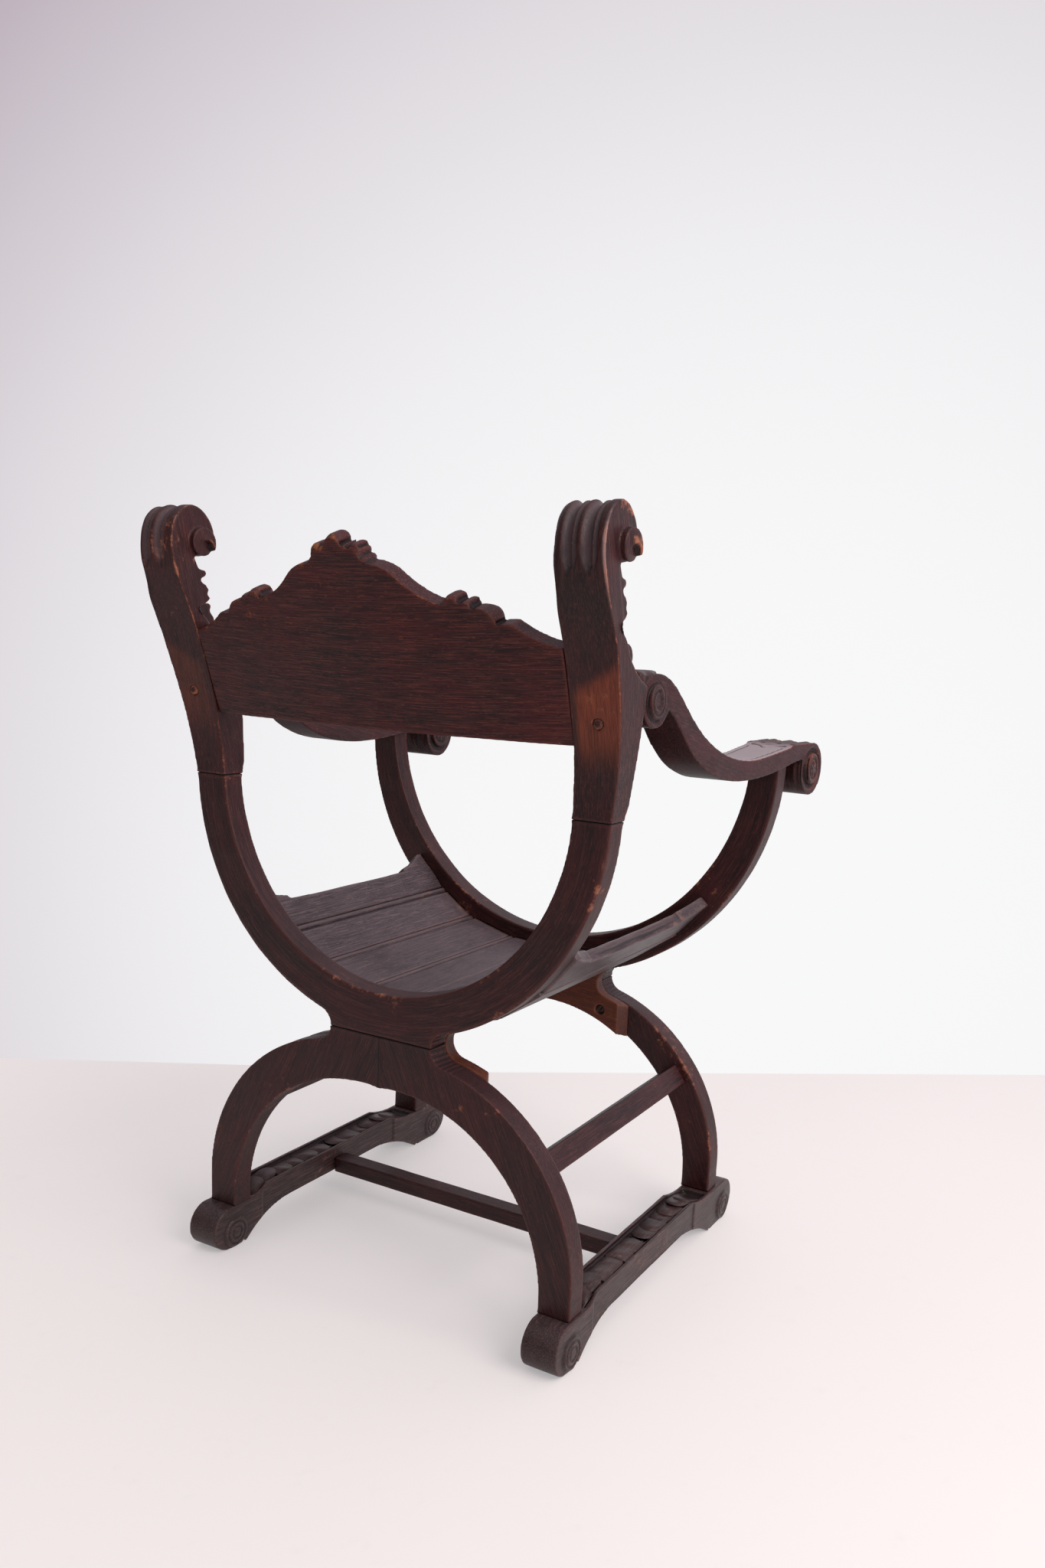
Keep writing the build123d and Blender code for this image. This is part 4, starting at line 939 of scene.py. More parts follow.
# %% [markdown]
# ## The arms
# Each arm is an S-shaped rail that scrolls against the post and rolls under at the front. Rings wind
# inwards on both scrolls. Two incised lines frame the top and meet in a notch, and a leaf with
# scalloped tips wraps the front roll. A second, pointed leaf lies on the rear scroll. It is joined to
# the blank before the remesh, so it grows out of the same wood.

# %% Shape of the arm
arm_front_roll = (-298.7, 656.0)
arm_rear_scroll = (138.9, 754.0)


def arm_faces(y):
    """x of the arm's outer and inner face at y."""
    share = (y + 216.5) / (165.0 + 216.5)
    return 335.0 + (305.8 - 335.0) * share, 271.0 + (262.8 - 271.0) * share


def leaf_on_scroll(sign):
    """A pointed leaf that lies on the rear scroll and lifts its tip towards the front."""
    rows = []
    for k in range(15):
        t = k / 14
        y = 176 - 66 * t
        top = 787.6 - 1.2 * t
        wide = 20.0 * (1 - 0.82 * t ** 3) + 1.4 * math.sin(t * 15)
        outer, inner = arm_faces(y)
        middle = (outer + inner) / 2
        row = []
        for j in range(13):
            u = -1 + j / 6
            crown = top - 5.0 * u * u - 1.6 * (1 - abs(u)) ** 3 + 1.0 * math.cos(u * 9)
            row.append((middle + u * wide, y, crown))
        rows.append(row)
    work = bmesh.new()
    upper = [[work.verts.new(place(sign * x, y, z)) for x, y, z in row] for row in rows]
    lower = []
    for k, row in enumerate(rows):
        under = 768.0 + 13.5 * min(1.0, 1.35 * k / 14) ** 2
        lower.append([work.verts.new(place(sign * x, y, under)) for x, y, _ in row])
    for k in range(14):
        for j in range(12):
            work.faces.new((upper[k][j], upper[k][j + 1], upper[k + 1][j + 1], upper[k + 1][j]))
            work.faces.new((lower[k][j], lower[k + 1][j], lower[k + 1][j + 1], lower[k][j + 1]))
        for j in (0, 12):
            work.faces.new((upper[k][j], upper[k + 1][j], lower[k + 1][j], lower[k][j]))
    for k in (0, 14):
        for j in range(12):
            work.faces.new((upper[k][j], upper[k][j + 1], lower[k][j + 1], lower[k][j]))
    return end_mesh(work, "scroll_leaf")


# %% Cuts on the arm
def carve_arm(bench):
    """Winding rings on both scrolls, the incised frame, and the leaf over the front roll."""
    x, y, z = bench.folded()
    normal = bench.normals()
    sideways = step(np.abs(normal[:, 0]), 0.55, 0.85)
    rear_p, rear_q = y - arm_rear_scroll[0], z - arm_rear_scroll[1]
    near_rear = step(-np.hypot(rear_p, rear_q), -30, -28)
    rings = 1.9 * gouge(spiral_gap(rear_p, rear_q, 22.0, 10.5, 1.6, -1.9, 1.0), 2.1) * near_rear
    dish = 1.5 * step(-np.hypot(rear_p, rear_q), -11, -7)
    front_p, front_q = y - arm_front_roll[0], z - arm_front_roll[1]
    front_radius = np.hypot(front_p, front_q)
    rings = np.maximum(rings, 4.2 * gouge(front_radius - 24.5, 4.2))
    rings = np.maximum(rings, 2.0 * gouge(front_radius - 13.5, 2.3))
    petals = 1.3 * (0.5 + 0.5 * np.cos(6 * np.arctan2(front_q, front_p))) * gouge(front_radius - 8.5, 4.0)
    rings = np.maximum(rings, petals)
    bench.cut(np.maximum(rings, dish) * sideways)

    outer, inner = arm_faces(y)
    across = (x - inner) / (outer - inner)
    upper = step(normal[:, 2], 0.35, 0.6)
    from_outer, from_inner = outer - x, x - inner
    border = np.minimum(np.abs(from_outer - 8.5), np.abs(from_inner - 8.5))
    run = step(y, -214, -212) * step(-y, -96, -92)
    notch_y = -222 + 13 * np.exp(-((across - 0.5) / 0.13) ** 2) - 6 * np.abs(across - 0.5)
    end_line = np.where((from_outer > 8) & (from_inner > 8), np.abs(y - notch_y), 99.0)
    frame_cut = 2.2 * np.maximum(gouge(border, 1.5) * run, gouge(end_line, 1.6))
    bench.cut(frame_cut * upper)

    roll_side = step(-y, 226, 234) * step(1 - np.abs(normal[:, 0]), 0.3, 0.6)
    tips = -240 + 9 * np.abs(np.sin(across * math.pi * 3.0)) + 5 * np.sin(across * math.pi)
    ground = step(y - tips, -1.2, 1.2) * roll_side * step(-y, 226, 232)
    veins = 1.9 * (0.5 + 0.5 * np.cos(across * math.pi * 6.0)) * step(tips - y, 0.0, 8.0)
    ribs = 0.8 * (0.5 + 0.5 * np.cos(across * math.pi * 18.0)) * step(tips - y, 3.0, 14.0)
    leaf = (veins + ribs) * roll_side * step(z, 622, 634)
    bench.cut(2.4 * ground + leaf)


def arm_rub_and_painted_reflection(bench):
    """Elbows and hands have rubbed the arrises of the arm, and its top gets a painted reflection."""
    x, y, z = bench.folded()
    outer, _ = arm_faces(y)
    upward = bench.normals()[:, 2]
    # a painted reflection: the top of the arm turns milky grey where it faces up
    bench.bloom_and_painted_sheen = 0.62 * step(upward, 0.5, 0.9) * step(-y, -90, -10) * step(y, -236, -226)
    bench.washed = 0.5 * step(x - outer, -5, -1) * step(-y, 20, 120) * step(upward, 0.0, 0.5)


# %% Arms
for side, sign in sides:
    name = "arm_" + side
    piece = copy_of(name)
    join_mesh(piece, leaf_on_scroll(sign))
    bench = Bench(blank(piece, voxel=1.2))
    bench.soften(3)
    carve_arm(bench)
    bench.soften(1)
    bench.cut(hand_planed(bench.points, 0.4, seed=11))
    arm_rub_and_painted_reflection(bench)
    grain = straight_grain(bench.points, (0.0, 1.0, 0.22))
    bench.finish("arm_oak_" + side, frame_oak, grain, [name], wear=0.35)

# %% [markdown]
# ## The runners
# A runner ends in a roll at front and back, with two turned rings on its flat. Its sides are sunk a
# little between the legs, which leaves a plain block at each leg. The top between the legs is sunk
# 6 mm, and a row of overlapping scales fills it, pointing from both legs to the middle.

# %% Runners
runner_bosses = ((198.5, 21.5, 19.0), (-249.2, 21.5, 19.0))
channel_middle, channel_floor = 254.65, 52.0
sunk_half = 146.0      # the sides are sunk this far to the front and to the rear


def carve_runner(bench):
    """Two rings on the flat of each roll, sunk sides, and a pocket ahead of the front leg."""
    x, y, z = bench.folded()
    normal = bench.normals()
    sideways = step(np.abs(normal[:, 0]), 0.55, 0.85)
    rings = np.zeros(len(x))
    for boss_y, boss_z, radius in runner_bosses:
        away = np.hypot(y - boss_y, z - boss_z)
        rings = np.maximum(rings, 2.0 * gouge(away - (radius - 4.0), 1.9))
        rings = np.maximum(rings, 1.5 * gouge(away - 8.0, 1.7))
    bench.cut(rings * sideways)
    between = step(y, -sunk_half, 2 - sunk_half) * step(-y, -sunk_half - 2, -sunk_half)
    bench.cut(1.5 * between * sideways)
    upper = step(normal[:, 2], 0.6, 0.85)
    sunk = step(-np.abs(x - channel_middle), -17.0, -15.0)
    pocket = gouge(y + 185, 9.0) * step(-np.abs(x - channel_middle), -13.5, -10.5)
    bench.cut(3.5 * pocket * upper * sunk)


for side in ("left", "right"):
    name = "runner_" + side
    bench = Bench(blank(copy_of(name), voxel=1.5))
    bench.soften(3)
    carve_runner(bench)
    bench.soften(1)
    bench.cut(hand_planed(bench.points, 0.5, seed=13))
    x, y, z = bench.folded()
    bench.rub = 0.15 * step(x, 274, 277) * step(-y, -150, -60)
    grain = straight_grain(bench.points, (0.0, 1.0, 0.0))
    bench.finish("runner_oak_" + side, runner_oak, grain, [name], wear=0.4)

# %% [markdown]
# ## What repeats: Geometry Nodes
# Scales, slats, bars, pegs and screws repeat, or follow a rule. Each is a small tree of Geometry
# Nodes with named inputs, so one tree makes every copy at its own size. A tree is tried on an empty
# mesh, its result becomes a plain mesh, and the modifier goes.


# %% Build and run a tree
def tree_with(name, inputs):
    """A new Geometry Nodes tree with named inputs, and its input node."""
    tree = bpy.data.node_groups.new(name, "GeometryNodeTree")
    for label, kind, value in inputs:
        socket = tree.interface.new_socket(label, in_out="INPUT", socket_type=kind)
        if value is not None:
            socket.default_value = value
    tree.interface.new_socket("Mesh", in_out="OUTPUT", socket_type="NodeSocketGeometry")
    return tree, tree.nodes.new("NodeGroupInput").outputs


def end_tree(tree, shape, material):
    """Close a tree: real geometry, a material, and the way out."""
    real = add(tree, "GeometryNodeRealizeInstances", {0: shape})
    painted = add(tree, "GeometryNodeSetMaterial", {0: real, "Material": material})
    add(tree, "NodeGroupOutput", {0: painted})


def grown(tree, name, values):
    """Run a tree with these inputs, and give back a plain mesh object."""
    host = linked(name, bpy.data.meshes.new(name))
    modifier = host.modifiers.new(tree.name, "NODES")
    modifier.node_group = tree
    for item in tree.interface.items_tree:
        if item.item_type == "SOCKET" and item.in_out == "INPUT" and item.name in values:
            modifier[item.identifier] = values[item.name]
    return settle(host)


# %% A row of scales along a path
scale_tree, given = tree_with("row of scales", [
    ("Path", "NodeSocketObject", None), ("Scale", "NodeSocketObject", None),
    ("Pitch", "NodeSocketFloat", 0.0255), ("Unevenness", "NodeSocketFloat", 0.06),
    ("Seed", "NodeSocketInt", 4), ("Material", "NodeSocketMaterial", None)])
path = add(scale_tree, "GeometryNodeObjectInfo", {"Object": given["Path"]}, out="Geometry")
spots = add(scale_tree, "GeometryNodeResampleCurve", {0: path, "Length": given["Pitch"]}, mode="LENGTH")
turned = add(scale_tree, "GeometryNodeCurveToPoints", {0: spots}, mode="EVALUATED")
heading = turned.node.outputs["Rotation"]
one = add(scale_tree, "GeometryNodeObjectInfo", {"Object": given["Scale"]}, out="Geometry")
most = add(scale_tree, "ShaderNodeMath", {0: 1.0, 1: given["Unevenness"]}, operation="ADD")
least = add(scale_tree, "ShaderNodeMath", {0: 1.0, 1: given["Unevenness"]}, operation="SUBTRACT")
size = add(scale_tree, "FunctionNodeRandomValue", {2: least, 3: most, "Seed": given["Seed"]}, out=1)
row = add(scale_tree, "GeometryNodeInstanceOnPoints",
          {0: turned, "Instance": one, "Rotation": heading, "Scale": size})
end_tree(scale_tree, row, given["Material"])


def one_scale():
    """One scale, pointing along +Z of its path: a domed leaf that drops steeply at its round tip."""
    wide, long, high = 14.6, 33.0, 2.8
    work = bmesh.new()
    grid = []
    for j in range(13):
        v = j / 12
        row = []
        for k in range(15):
            u = -1 + k / 7
            tip = long * (0.60 + 0.40 * math.sqrt(max(0.0, 1 - u * u)))
            rise = high * (0.35 + 0.65 * v) * (1 - 0.55 * u * u) * min(1.0, (1 - v) * 7) ** 0.5
            rise -= 0.8 * math.exp(-(u / 0.12) ** 2) * v
            row.append(work.verts.new(Vector((u * wide, rise - 1.0, v * tip)) * mm))
        grid.append(row)
    for j in range(12):
        for k in range(14):
            work.faces.new((grid[j][k], grid[j + 1][k], grid[j + 1][k + 1], grid[j][k + 1]))
    rim = [e for e in work.edges if e.is_boundary]
    skirt = bmesh.ops.extrude_edge_only(work, edges=rim)["geom"]
    for item in skirt:
        if isinstance(item, bmesh.types.BMVert):
            item.co.y = -2.2 * mm
    bmesh.ops.holes_fill(work, edges=[e for e in work.edges if e.is_boundary])
    return linked("one_scale", end_mesh(work, "one_scale"))


# %% Scales in the runners
def channel_path(sign, ys):
    """A curve along the floor of a runner's channel."""
    line = bpy.data.curves.new("channel", "CURVE")
    line.dimensions = "3D"
    spline = line.splines.new("POLY")
    spline.points.add(len(ys) - 1)
    for point, y in zip(spline.points, ys):
        rise = step(np.array([y + 194.0]), 0, 55)[0] * step(np.array([163.0 - y]), 0, 24)[0]
        point.co = (*place(sign * channel_middle, y, channel_floor + 10.0 * rise), 1.0)
    return linked("channel", line)


scale_piece = one_scale()
for side, sign in sides:
    halves = []
    for ys in (np.linspace(-176, -20, 40), np.linspace(160, -6, 40)):
        path = channel_path(sign, ys)
        halves.append(grown(scale_tree, "runner_scales_" + side,
                            {"Path": path, "Scale": scale_piece, "Material": runner_oak}))
        bpy.data.objects.remove(path)
    join_mesh(halves[0], halves[1].data.copy())
    bpy.data.objects.remove(halves[1])
    bench = Bench(halves[0])
    grain = straight_grain(bench.points, (0.0, 1.0, 0.0))
    bench.finish("runner_scales_" + side, runner_oak, grain, [], wear=0.3)
    low, high = bench.points.min(axis=0), bench.points.max(axis=0)
    print("scales from", low.round(1), "to", high.round(1), "mm")
bpy.data.objects.remove(scale_piece)

# %% [markdown]
# ## The seat
# Eight slats run from front to rear and are tongued into both bowls, so together they follow the
# curve of the seat, which one wide board could not. Each slat has a flat top, a little hollow from
# use, and a round bead along its upper edge, set off by a narrow sunk line, the quirk. The tree
# starts from a box of even quads and moves its top points.

# %% A beaded slat
slat_tree, given = tree_with("beaded slat", [
    ("Width", "NodeSocketFloat", 0.07), ("Length", "NodeSocketFloat", 0.371),
    ("Thickness", "NodeSocketFloat", 0.016), ("Bead", "NodeSocketFloat", 0.008),
    ("Quirk", "NodeSocketFloat", 0.0036), ("Hollow", "NodeSocketFloat", 0.0007),
    ("Seed", "NodeSocketFloat", 1.0), ("Material", "NodeSocketMaterial", None)])
extent = add(slat_tree, "ShaderNodeCombineXYZ", {0: given["Width"], 1: given["Length"],
                                                2: given["Thickness"]})
box = add(slat_tree, "GeometryNodeMeshCube", {"Size": extent, "Vertices X": 74, "Vertices Y": 72,
                                              "Vertices Z": 6})
spot = add(slat_tree, "GeometryNodeInputPosition")
place_x = add(slat_tree, "ShaderNodeSeparateXYZ", {0: spot}, out=0)
place_z = place_x.node.outputs[2]
half = add(slat_tree, "ShaderNodeMath", {0: given["Width"], 1: 0.5}, operation="MULTIPLY")
from_edge = add(slat_tree, "ShaderNodeMath", {0: half, 1: place_x}, operation="SUBTRACT")
in_bead = add(slat_tree, "ShaderNodeMath", {0: from_edge, 1: given["Bead"]}, operation="DIVIDE")
# the bead: a half round whose middle is level with the top
arc_x = add(slat_tree, "ShaderNodeMath", {0: in_bead, 1: 2.0, 2: -1.0}, operation="MULTIPLY_ADD")
square = add(slat_tree, "ShaderNodeMath", {0: arc_x, 1: 2.0}, operation="POWER")
left_over = add(slat_tree, "ShaderNodeMath", {0: 1.0, 1: square}, operation="SUBTRACT", use_clamp=True)
arc_z = add(slat_tree, "ShaderNodeMath", {0: left_over, 1: 0.5}, operation="POWER")
sink = add(slat_tree, "ShaderNodeMath", {0: 1.0, 1: arc_z}, operation="SUBTRACT")
# past the quirk the top climbs back to its own level
climb = add(slat_tree, "ShaderNodeMapRange", {0: in_bead, 1: 1.0, 2: 1.6, 3: 1.0, 4: 0.0},
            interpolation_type="SMOOTHSTEP")
sink = add(slat_tree, "ShaderNodeMath", {0: sink, 1: climb}, operation="MINIMUM")
sink = add(slat_tree, "ShaderNodeMath", {0: sink, 1: given["Quirk"]}, operation="MULTIPLY")
sag = add(slat_tree, "ShaderNodeMath", {0: place_x, 1: half}, operation="DIVIDE")
sag = add(slat_tree, "ShaderNodeMath", {0: sag, 1: 2.0}, operation="POWER")
sag = add(slat_tree, "ShaderNodeMath", {0: 1.0, 1: sag}, operation="SUBTRACT")
sag = add(slat_tree, "ShaderNodeMath", {0: sag, 1: given["Hollow"], 2: sink}, operation="MULTIPLY_ADD")
wave = add(slat_tree, "ShaderNodeTexNoise", {"Vector": spot, "W": given["Seed"], "Scale": 26.0},
           noise_dimensions="4D")
sag = add(slat_tree, "ShaderNodeMath", {0: wave, 1: 0.0006, 2: sag}, operation="MULTIPLY_ADD")
near_edge = add(slat_tree, "ShaderNodeMath", {0: place_x, 1: half}, operation="ADD")
arris = add(slat_tree, "ShaderNodeMapRange", {0: near_edge, 1: 0.0, 2: 0.0016, 3: 0.0008, 4: 0.0})
sag = add(slat_tree, "ShaderNodeMath", {0: sag, 1: arris}, operation="ADD")
down = add(slat_tree, "ShaderNodeMath", {0: sag, 1: -1.0}, operation="MULTIPLY")
offset = add(slat_tree, "ShaderNodeCombineXYZ", {2: down})
level_top = add(slat_tree, "ShaderNodeMath", {0: given["Thickness"], 1: 0.499}, operation="MULTIPLY")
top_only = add(slat_tree, "FunctionNodeCompare", {0: place_z, 1: level_top}, operation="GREATER_THAN")
shape = add(slat_tree, "GeometryNodeSetPosition", {0: box, "Selection": top_only, "Offset": offset})
end_tree(slat_tree, shape, given["Material"])

# %% Slats between the bowls
slat_joints = ((0.0, 371.5), (69.0, 375.5), (140.0, 396.0), (191.0, 432.0))
slat_lap = (0.6, 0.9, 0.6)      # each bead reaches this far past its joint, so no light comes through
seat_rear, seat_front = 170.0, -201.0


def slat_place(number, sign):
    """Matrix that sets a slat's box on the seat curve, bead uppermost."""
    (x0, z0), (x1, z1) = slat_joints[number], slat_joints[number + 1]
    along = Vector((sign * (x1 - x0), 0, z1 - z0)).normalized()
    up = Vector((-along.z * sign, 0, along.x * sign)) if sign > 0 else Vector((along.z, 0, -along.x))
    if up.z < 0:
        up = -up
    middle = place(sign * (x0 + x1) / 2, (seat_rear + seat_front) / 2, (z0 + z1) / 2) - up * 0.008
    middle += along * slat_lap[number] / 2 * mm
    turn = Matrix((along, up.cross(along), up)).transposed()
    return Matrix.Translation(middle) @ turn.to_4x4()


for number in range(3):
    (x0, z0), (x1, z1) = slat_joints[number], slat_joints[number + 1]
    for side, sign in sides:
        name = "seat_slat_" + str(number + 1) + "_" + side
        width = (math.hypot(x1 - x0, z1 - z0) + slat_lap[number] - 0.1) * mm
        length = (seat_rear - seat_front - 0.3) * mm
        piece = grown(slat_tree, name, {"Width": width, "Length": length, "Material": slat_oak,
                                        "Seed": float(7 * number + sign)})
        piece.data.transform(slat_place(number, sign))
        bench = Bench(piece)
        grain = straight_grain(bench.points, (0.0, 1.0, 0.0))
        bench.finish("seat_slat_oak_" + str(number + 1) + "_" + side, slat_oak, grain, [name])

# %% The eared slats at the sides
for side, sign in sides:
    name = "seat_slat_4_" + side
    bench = Bench(blank(copy_of(name), voxel=1.6))
    bench.soften(2)
    y = bench.points[:, 1]
    ears = np.minimum(step(np.abs(y + 15), 118, 130), step(-np.abs(y + 15), -190, -182))
    bench.soften(14, ears)
    bench.cut(hand_planed(bench.points, 0.4, seed=15))
    grain = straight_grain(bench.points, (0.0, 1.0, 0.0))
    bench.finish("seat_slat_oak_4_" + side, slat_oak, grain, [name])

# %% [markdown]
# ## Cleats and stretchers
# A bevelled cleat is screwed over the waist of each frame. The stretchers are plain bars with
# softened arrises. Their tree rounds a box: each point is drawn back to an inner box and pushed out
# again by the arris radius, and a slow noise keeps the faces from being dead flat.

# %% Cleats
for part in ("back", "front"):
    name = part + "_cleat"
    bench = Bench(blank(copy_of(name), voxel=1.4))
    bench.soften(3)
    bench.cut(hand_planed(bench.points, 0.4, seed=17))
    grain = straight_grain(bench.points, (1.0, 0.0, 0.12), (0, 1, 0))
    bench.rub = np.full(len(bench.points), 0.05)
    ends = step(np.abs(bench.normals()[:, 0]), 0.55, 0.85)
    bench.washed = 0.32 * (1 - ends)
    bench.bloom_and_painted_sheen = 0.03 * ends
    bench.finish(part + "_cleat_oak", cleat_oak, grain, [name], wear=0.6)

# %% A softened bar
bar_tree, given = tree_with("softened bar", [
    ("Size", "NodeSocketVector", (0.4, 0.026, 0.022)), ("Arris", "NodeSocketFloat", 0.002),
    ("Unevenness", "NodeSocketFloat", 0.0006), ("Seed", "NodeSocketFloat", 2.0),
    ("Material", "NodeSocketMaterial", None)])
box = add(bar_tree, "GeometryNodeMeshCube", {"Size": given["Size"], "Vertices X": 150, "Vertices Y": 15,
                                             "Vertices Z": 13})
spot = add(bar_tree, "GeometryNodeInputPosition")
rim = add(bar_tree, "ShaderNodeCombineXYZ", {0: given["Arris"], 1: given["Arris"], 2: given["Arris"]})
high = add(bar_tree, "ShaderNodeVectorMath", {0: given["Size"], 1: (0.5, 0.5, 0.5), 2: (0, 0, 0)},
           operation="MULTIPLY_ADD")
high = add(bar_tree, "ShaderNodeVectorMath", {0: high, 1: rim}, operation="SUBTRACT")
low = add(bar_tree, "ShaderNodeVectorMath", {0: high, 1: (-1, -1, -1)}, operation="MULTIPLY")
core = add(bar_tree, "ShaderNodeVectorMath", {0: spot, 1: high}, operation="MINIMUM")
core = add(bar_tree, "ShaderNodeVectorMath", {0: core, 1: low}, operation="MAXIMUM")
out = add(bar_tree, "ShaderNodeVectorMath", {0: spot, 1: core}, operation="SUBTRACT")
out = add(bar_tree, "ShaderNodeVectorMath", {0: out}, operation="NORMALIZE")
wave = add(bar_tree, "ShaderNodeTexNoise", {"Vector": spot, "W": given["Seed"], "Scale": 30.0},
           noise_dimensions="4D")
dent = add(bar_tree, "ShaderNodeMath", {0: wave, 1: given["Unevenness"]}, operation="MULTIPLY")
reach = add(bar_tree, "ShaderNodeMath", {0: given["Arris"], 1: dent}, operation="SUBTRACT")
out = add(bar_tree, "ShaderNodeVectorMath", {0: out, "Scale": reach}, operation="SCALE")
moved = add(bar_tree, "ShaderNodeVectorMath", {0: core, 1: out}, operation="ADD")
shape = add(bar_tree, "GeometryNodeSetPosition", {0: box, "Position": moved})
end_tree(bar_tree, shape, given["Material"])

# %% Stretchers
tilt = math.radians(36.2)      # each side stretcher is turned this far about its length
# name, size in millimetres, middle, how the bar lies, and the way of its fibres
bars = [("cross_stretcher", (463.2, 26.0, 22.0), place(0, -14, 42), Matrix.Identity(4), (1.0, 0, 0))]
for side, sign in sides:
    lie = Matrix(((0, sign * math.cos(tilt), sign * -math.sin(tilt)), (1, 0, 0),
                  (0, math.sin(tilt), math.cos(tilt)))).to_4x4()
    middle = place(sign * 209.6, (seat_rear + seat_front) / 2, 214.9)
    bars.append(("side_stretcher_" + side, (371.2, 28.0, 29.0), middle, lie, (0, 1.0, 0)))
for number, (name, size, middle, lie, along) in enumerate(bars):
    piece = grown(bar_tree, name, {"Size": [s * mm for s in size], "Seed": 3.0 + number,
                                   "Material": frame_oak})
    piece.data.transform(Matrix.Translation(middle) @ lie)
    if lie.determinant() < 0:
        piece.data.flip_normals()
    bench = Bench(piece)
    grain = straight_grain(bench.points, along)
    bench.finish(name + "_oak", frame_oak, grain, [name], wear=0.25)

# %% [markdown]
# ## Pegs, screws and dowels
# An oak peg goes through each post and the panel's tenon. It was driven in, and cut off just proud of
# the post, so its end is slightly domed. Slotted iron screws sit deep in the cleats' recesses. One
# tree sets a row of pegs and another a row of screws, each turned by chance, since nobody lines up
# the slots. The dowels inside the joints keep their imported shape, and only get bare beech.

# %% Blackened iron, and bare beech
iron, tree = new_material("blackened_iron")
where = add(tree, "ShaderNodeTexCoord", out=3)
# rust in spots about 1 mm across
rust = add(tree, "ShaderNodeTexNoise", {"Vector": where, "Scale": 900.0, "Detail": 3.0})
rust = add(tree, "ShaderNodeMapRange", {0: rust, 1: 0.45, 2: 0.7})
colour = add(tree, "ShaderNodeMix", {0: rust, 6: srgb("#3a3634"), 7: srgb("#5a382a")}, **in_colour)
rough = add(tree, "ShaderNodeMapRange", {0: rust, 3: 0.38, 4: 0.75})
dents = add(tree, "ShaderNodeBump", {"Strength": 0.3, "Distance": 0.0002, "Height": rust})
skin = add(tree, "ShaderNodeBsdfPrincipled", {"Base Color": colour, "Roughness": rough, "Metallic": 1.0,
                                              "Normal": dents})
add(tree, "ShaderNodeOutputMaterial", {"Surface": skin})

beech, tree = new_material("bare_turned_beech")
where = add(tree, "ShaderNodeTexCoord", out=3)
# brown ray flecks about 1 mm long, over slow clouds of tone
flecks = add(tree, "ShaderNodeTexNoise", {"Vector": where, "Scale": 800.0, "Detail": 2.0})
flecks = add(tree, "ShaderNodeMapRange", {0: flecks, 1: 0.58, 2: 0.68, 4: 0.6})
tone = add(tree, "ShaderNodeTexNoise", {"Vector": where, "Scale": 60.0, "Detail": 3.0})
colour = add(tree, "ShaderNodeMix", {0: tone, 6: srgb("#c39a70"), 7: srgb("#d8b48a")}, **in_colour)
colour = add(tree, "ShaderNodeMix", {0: flecks, 6: colour, 7: srgb("#94643f")}, **in_colour)
grit = add(tree, "ShaderNodeBump", {"Strength": 0.2, "Distance": 0.0002, "Height": flecks})
skin = add(tree, "ShaderNodeBsdfPrincipled", {"Base Color": colour, "Roughness": 0.6, "Normal": grit})
add(tree, "ShaderNodeOutputMaterial", {"Surface": skin})

dowels = [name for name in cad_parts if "dowel" in name]
for name in dowels:
    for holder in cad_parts[name].material_slots:
        holder.material = beech
print("dowels in beech:", len(dowels))

# %% A row of pegs
row_inputs = [
    ("Start", "NodeSocketVector", (0.0, 0.0, 0.0)), ("Step", "NodeSocketVector", (0.1, 0.0, 0.0)),
    ("Count", "NodeSocketInt", 2), ("Radius", "NodeSocketFloat", 0.0055),
    ("Length", "NodeSocketFloat", 0.046), ("Seed", "NodeSocketInt", 3),
    ("Material", "NodeSocketMaterial", None)]
peg_tree, given = tree_with("row of pegs", row_inputs + [("Dome", "NodeSocketFloat", 0.0012)])
rod = add(peg_tree, "GeometryNodeMeshCylinder", {"Vertices": 32, "Side Segments": 8, "Fill Segments": 6,
                                                 "Radius": given["Radius"], "Depth": given["Length"]})
spot = add(peg_tree, "GeometryNodeInputPosition")
level = add(peg_tree, "ShaderNodeVectorMath", {0: spot, 1: (1.0, 1.0, 0.0)}, operation="MULTIPLY")
away = add(peg_tree, "ShaderNodeVectorMath", {0: level}, out=1, operation="LENGTH")
away = add(peg_tree, "ShaderNodeMath", {0: away, 1: given["Radius"]}, operation="DIVIDE")
away = add(peg_tree, "ShaderNodeMath", {0: away, 1: 2.0}, operation="POWER")
drop = add(peg_tree, "ShaderNodeMath", {0: away, 1: given["Dome"]}, operation="MULTIPLY")
drop = add(peg_tree, "ShaderNodeMath", {0: drop, 1: -1.0}, operation="MULTIPLY")
drop = add(peg_tree, "ShaderNodeCombineXYZ", {2: drop})
depth = add(peg_tree, "ShaderNodeSeparateXYZ", {0: spot}, out=2)
end_level = add(peg_tree, "ShaderNodeMath", {0: given["Length"], 1: 0.49}, operation="MULTIPLY")
at_end = add(peg_tree, "FunctionNodeCompare", {0: depth, 1: end_level}, operation="GREATER_THAN")
peg = add(peg_tree, "GeometryNodeSetPosition", {0: rod, "Selection": at_end, "Offset": drop})
line = add(peg_tree, "GeometryNodeMeshLine", {"Count": given["Count"], "Start Location": given["Start"],
                                              "Offset": given["Step"]})
spin = add(peg_tree, "FunctionNodeRandomValue", {2: 0.0, 3: 6.28, "Seed": given["Seed"]}, out=1)
spin = add(peg_tree, "ShaderNodeCombineXYZ", {2: spin})
row = add(peg_tree, "GeometryNodeInstanceOnPoints", {0: line, "Instance": peg, "Rotation": spin})
end_tree(peg_tree, row, given["Material"])

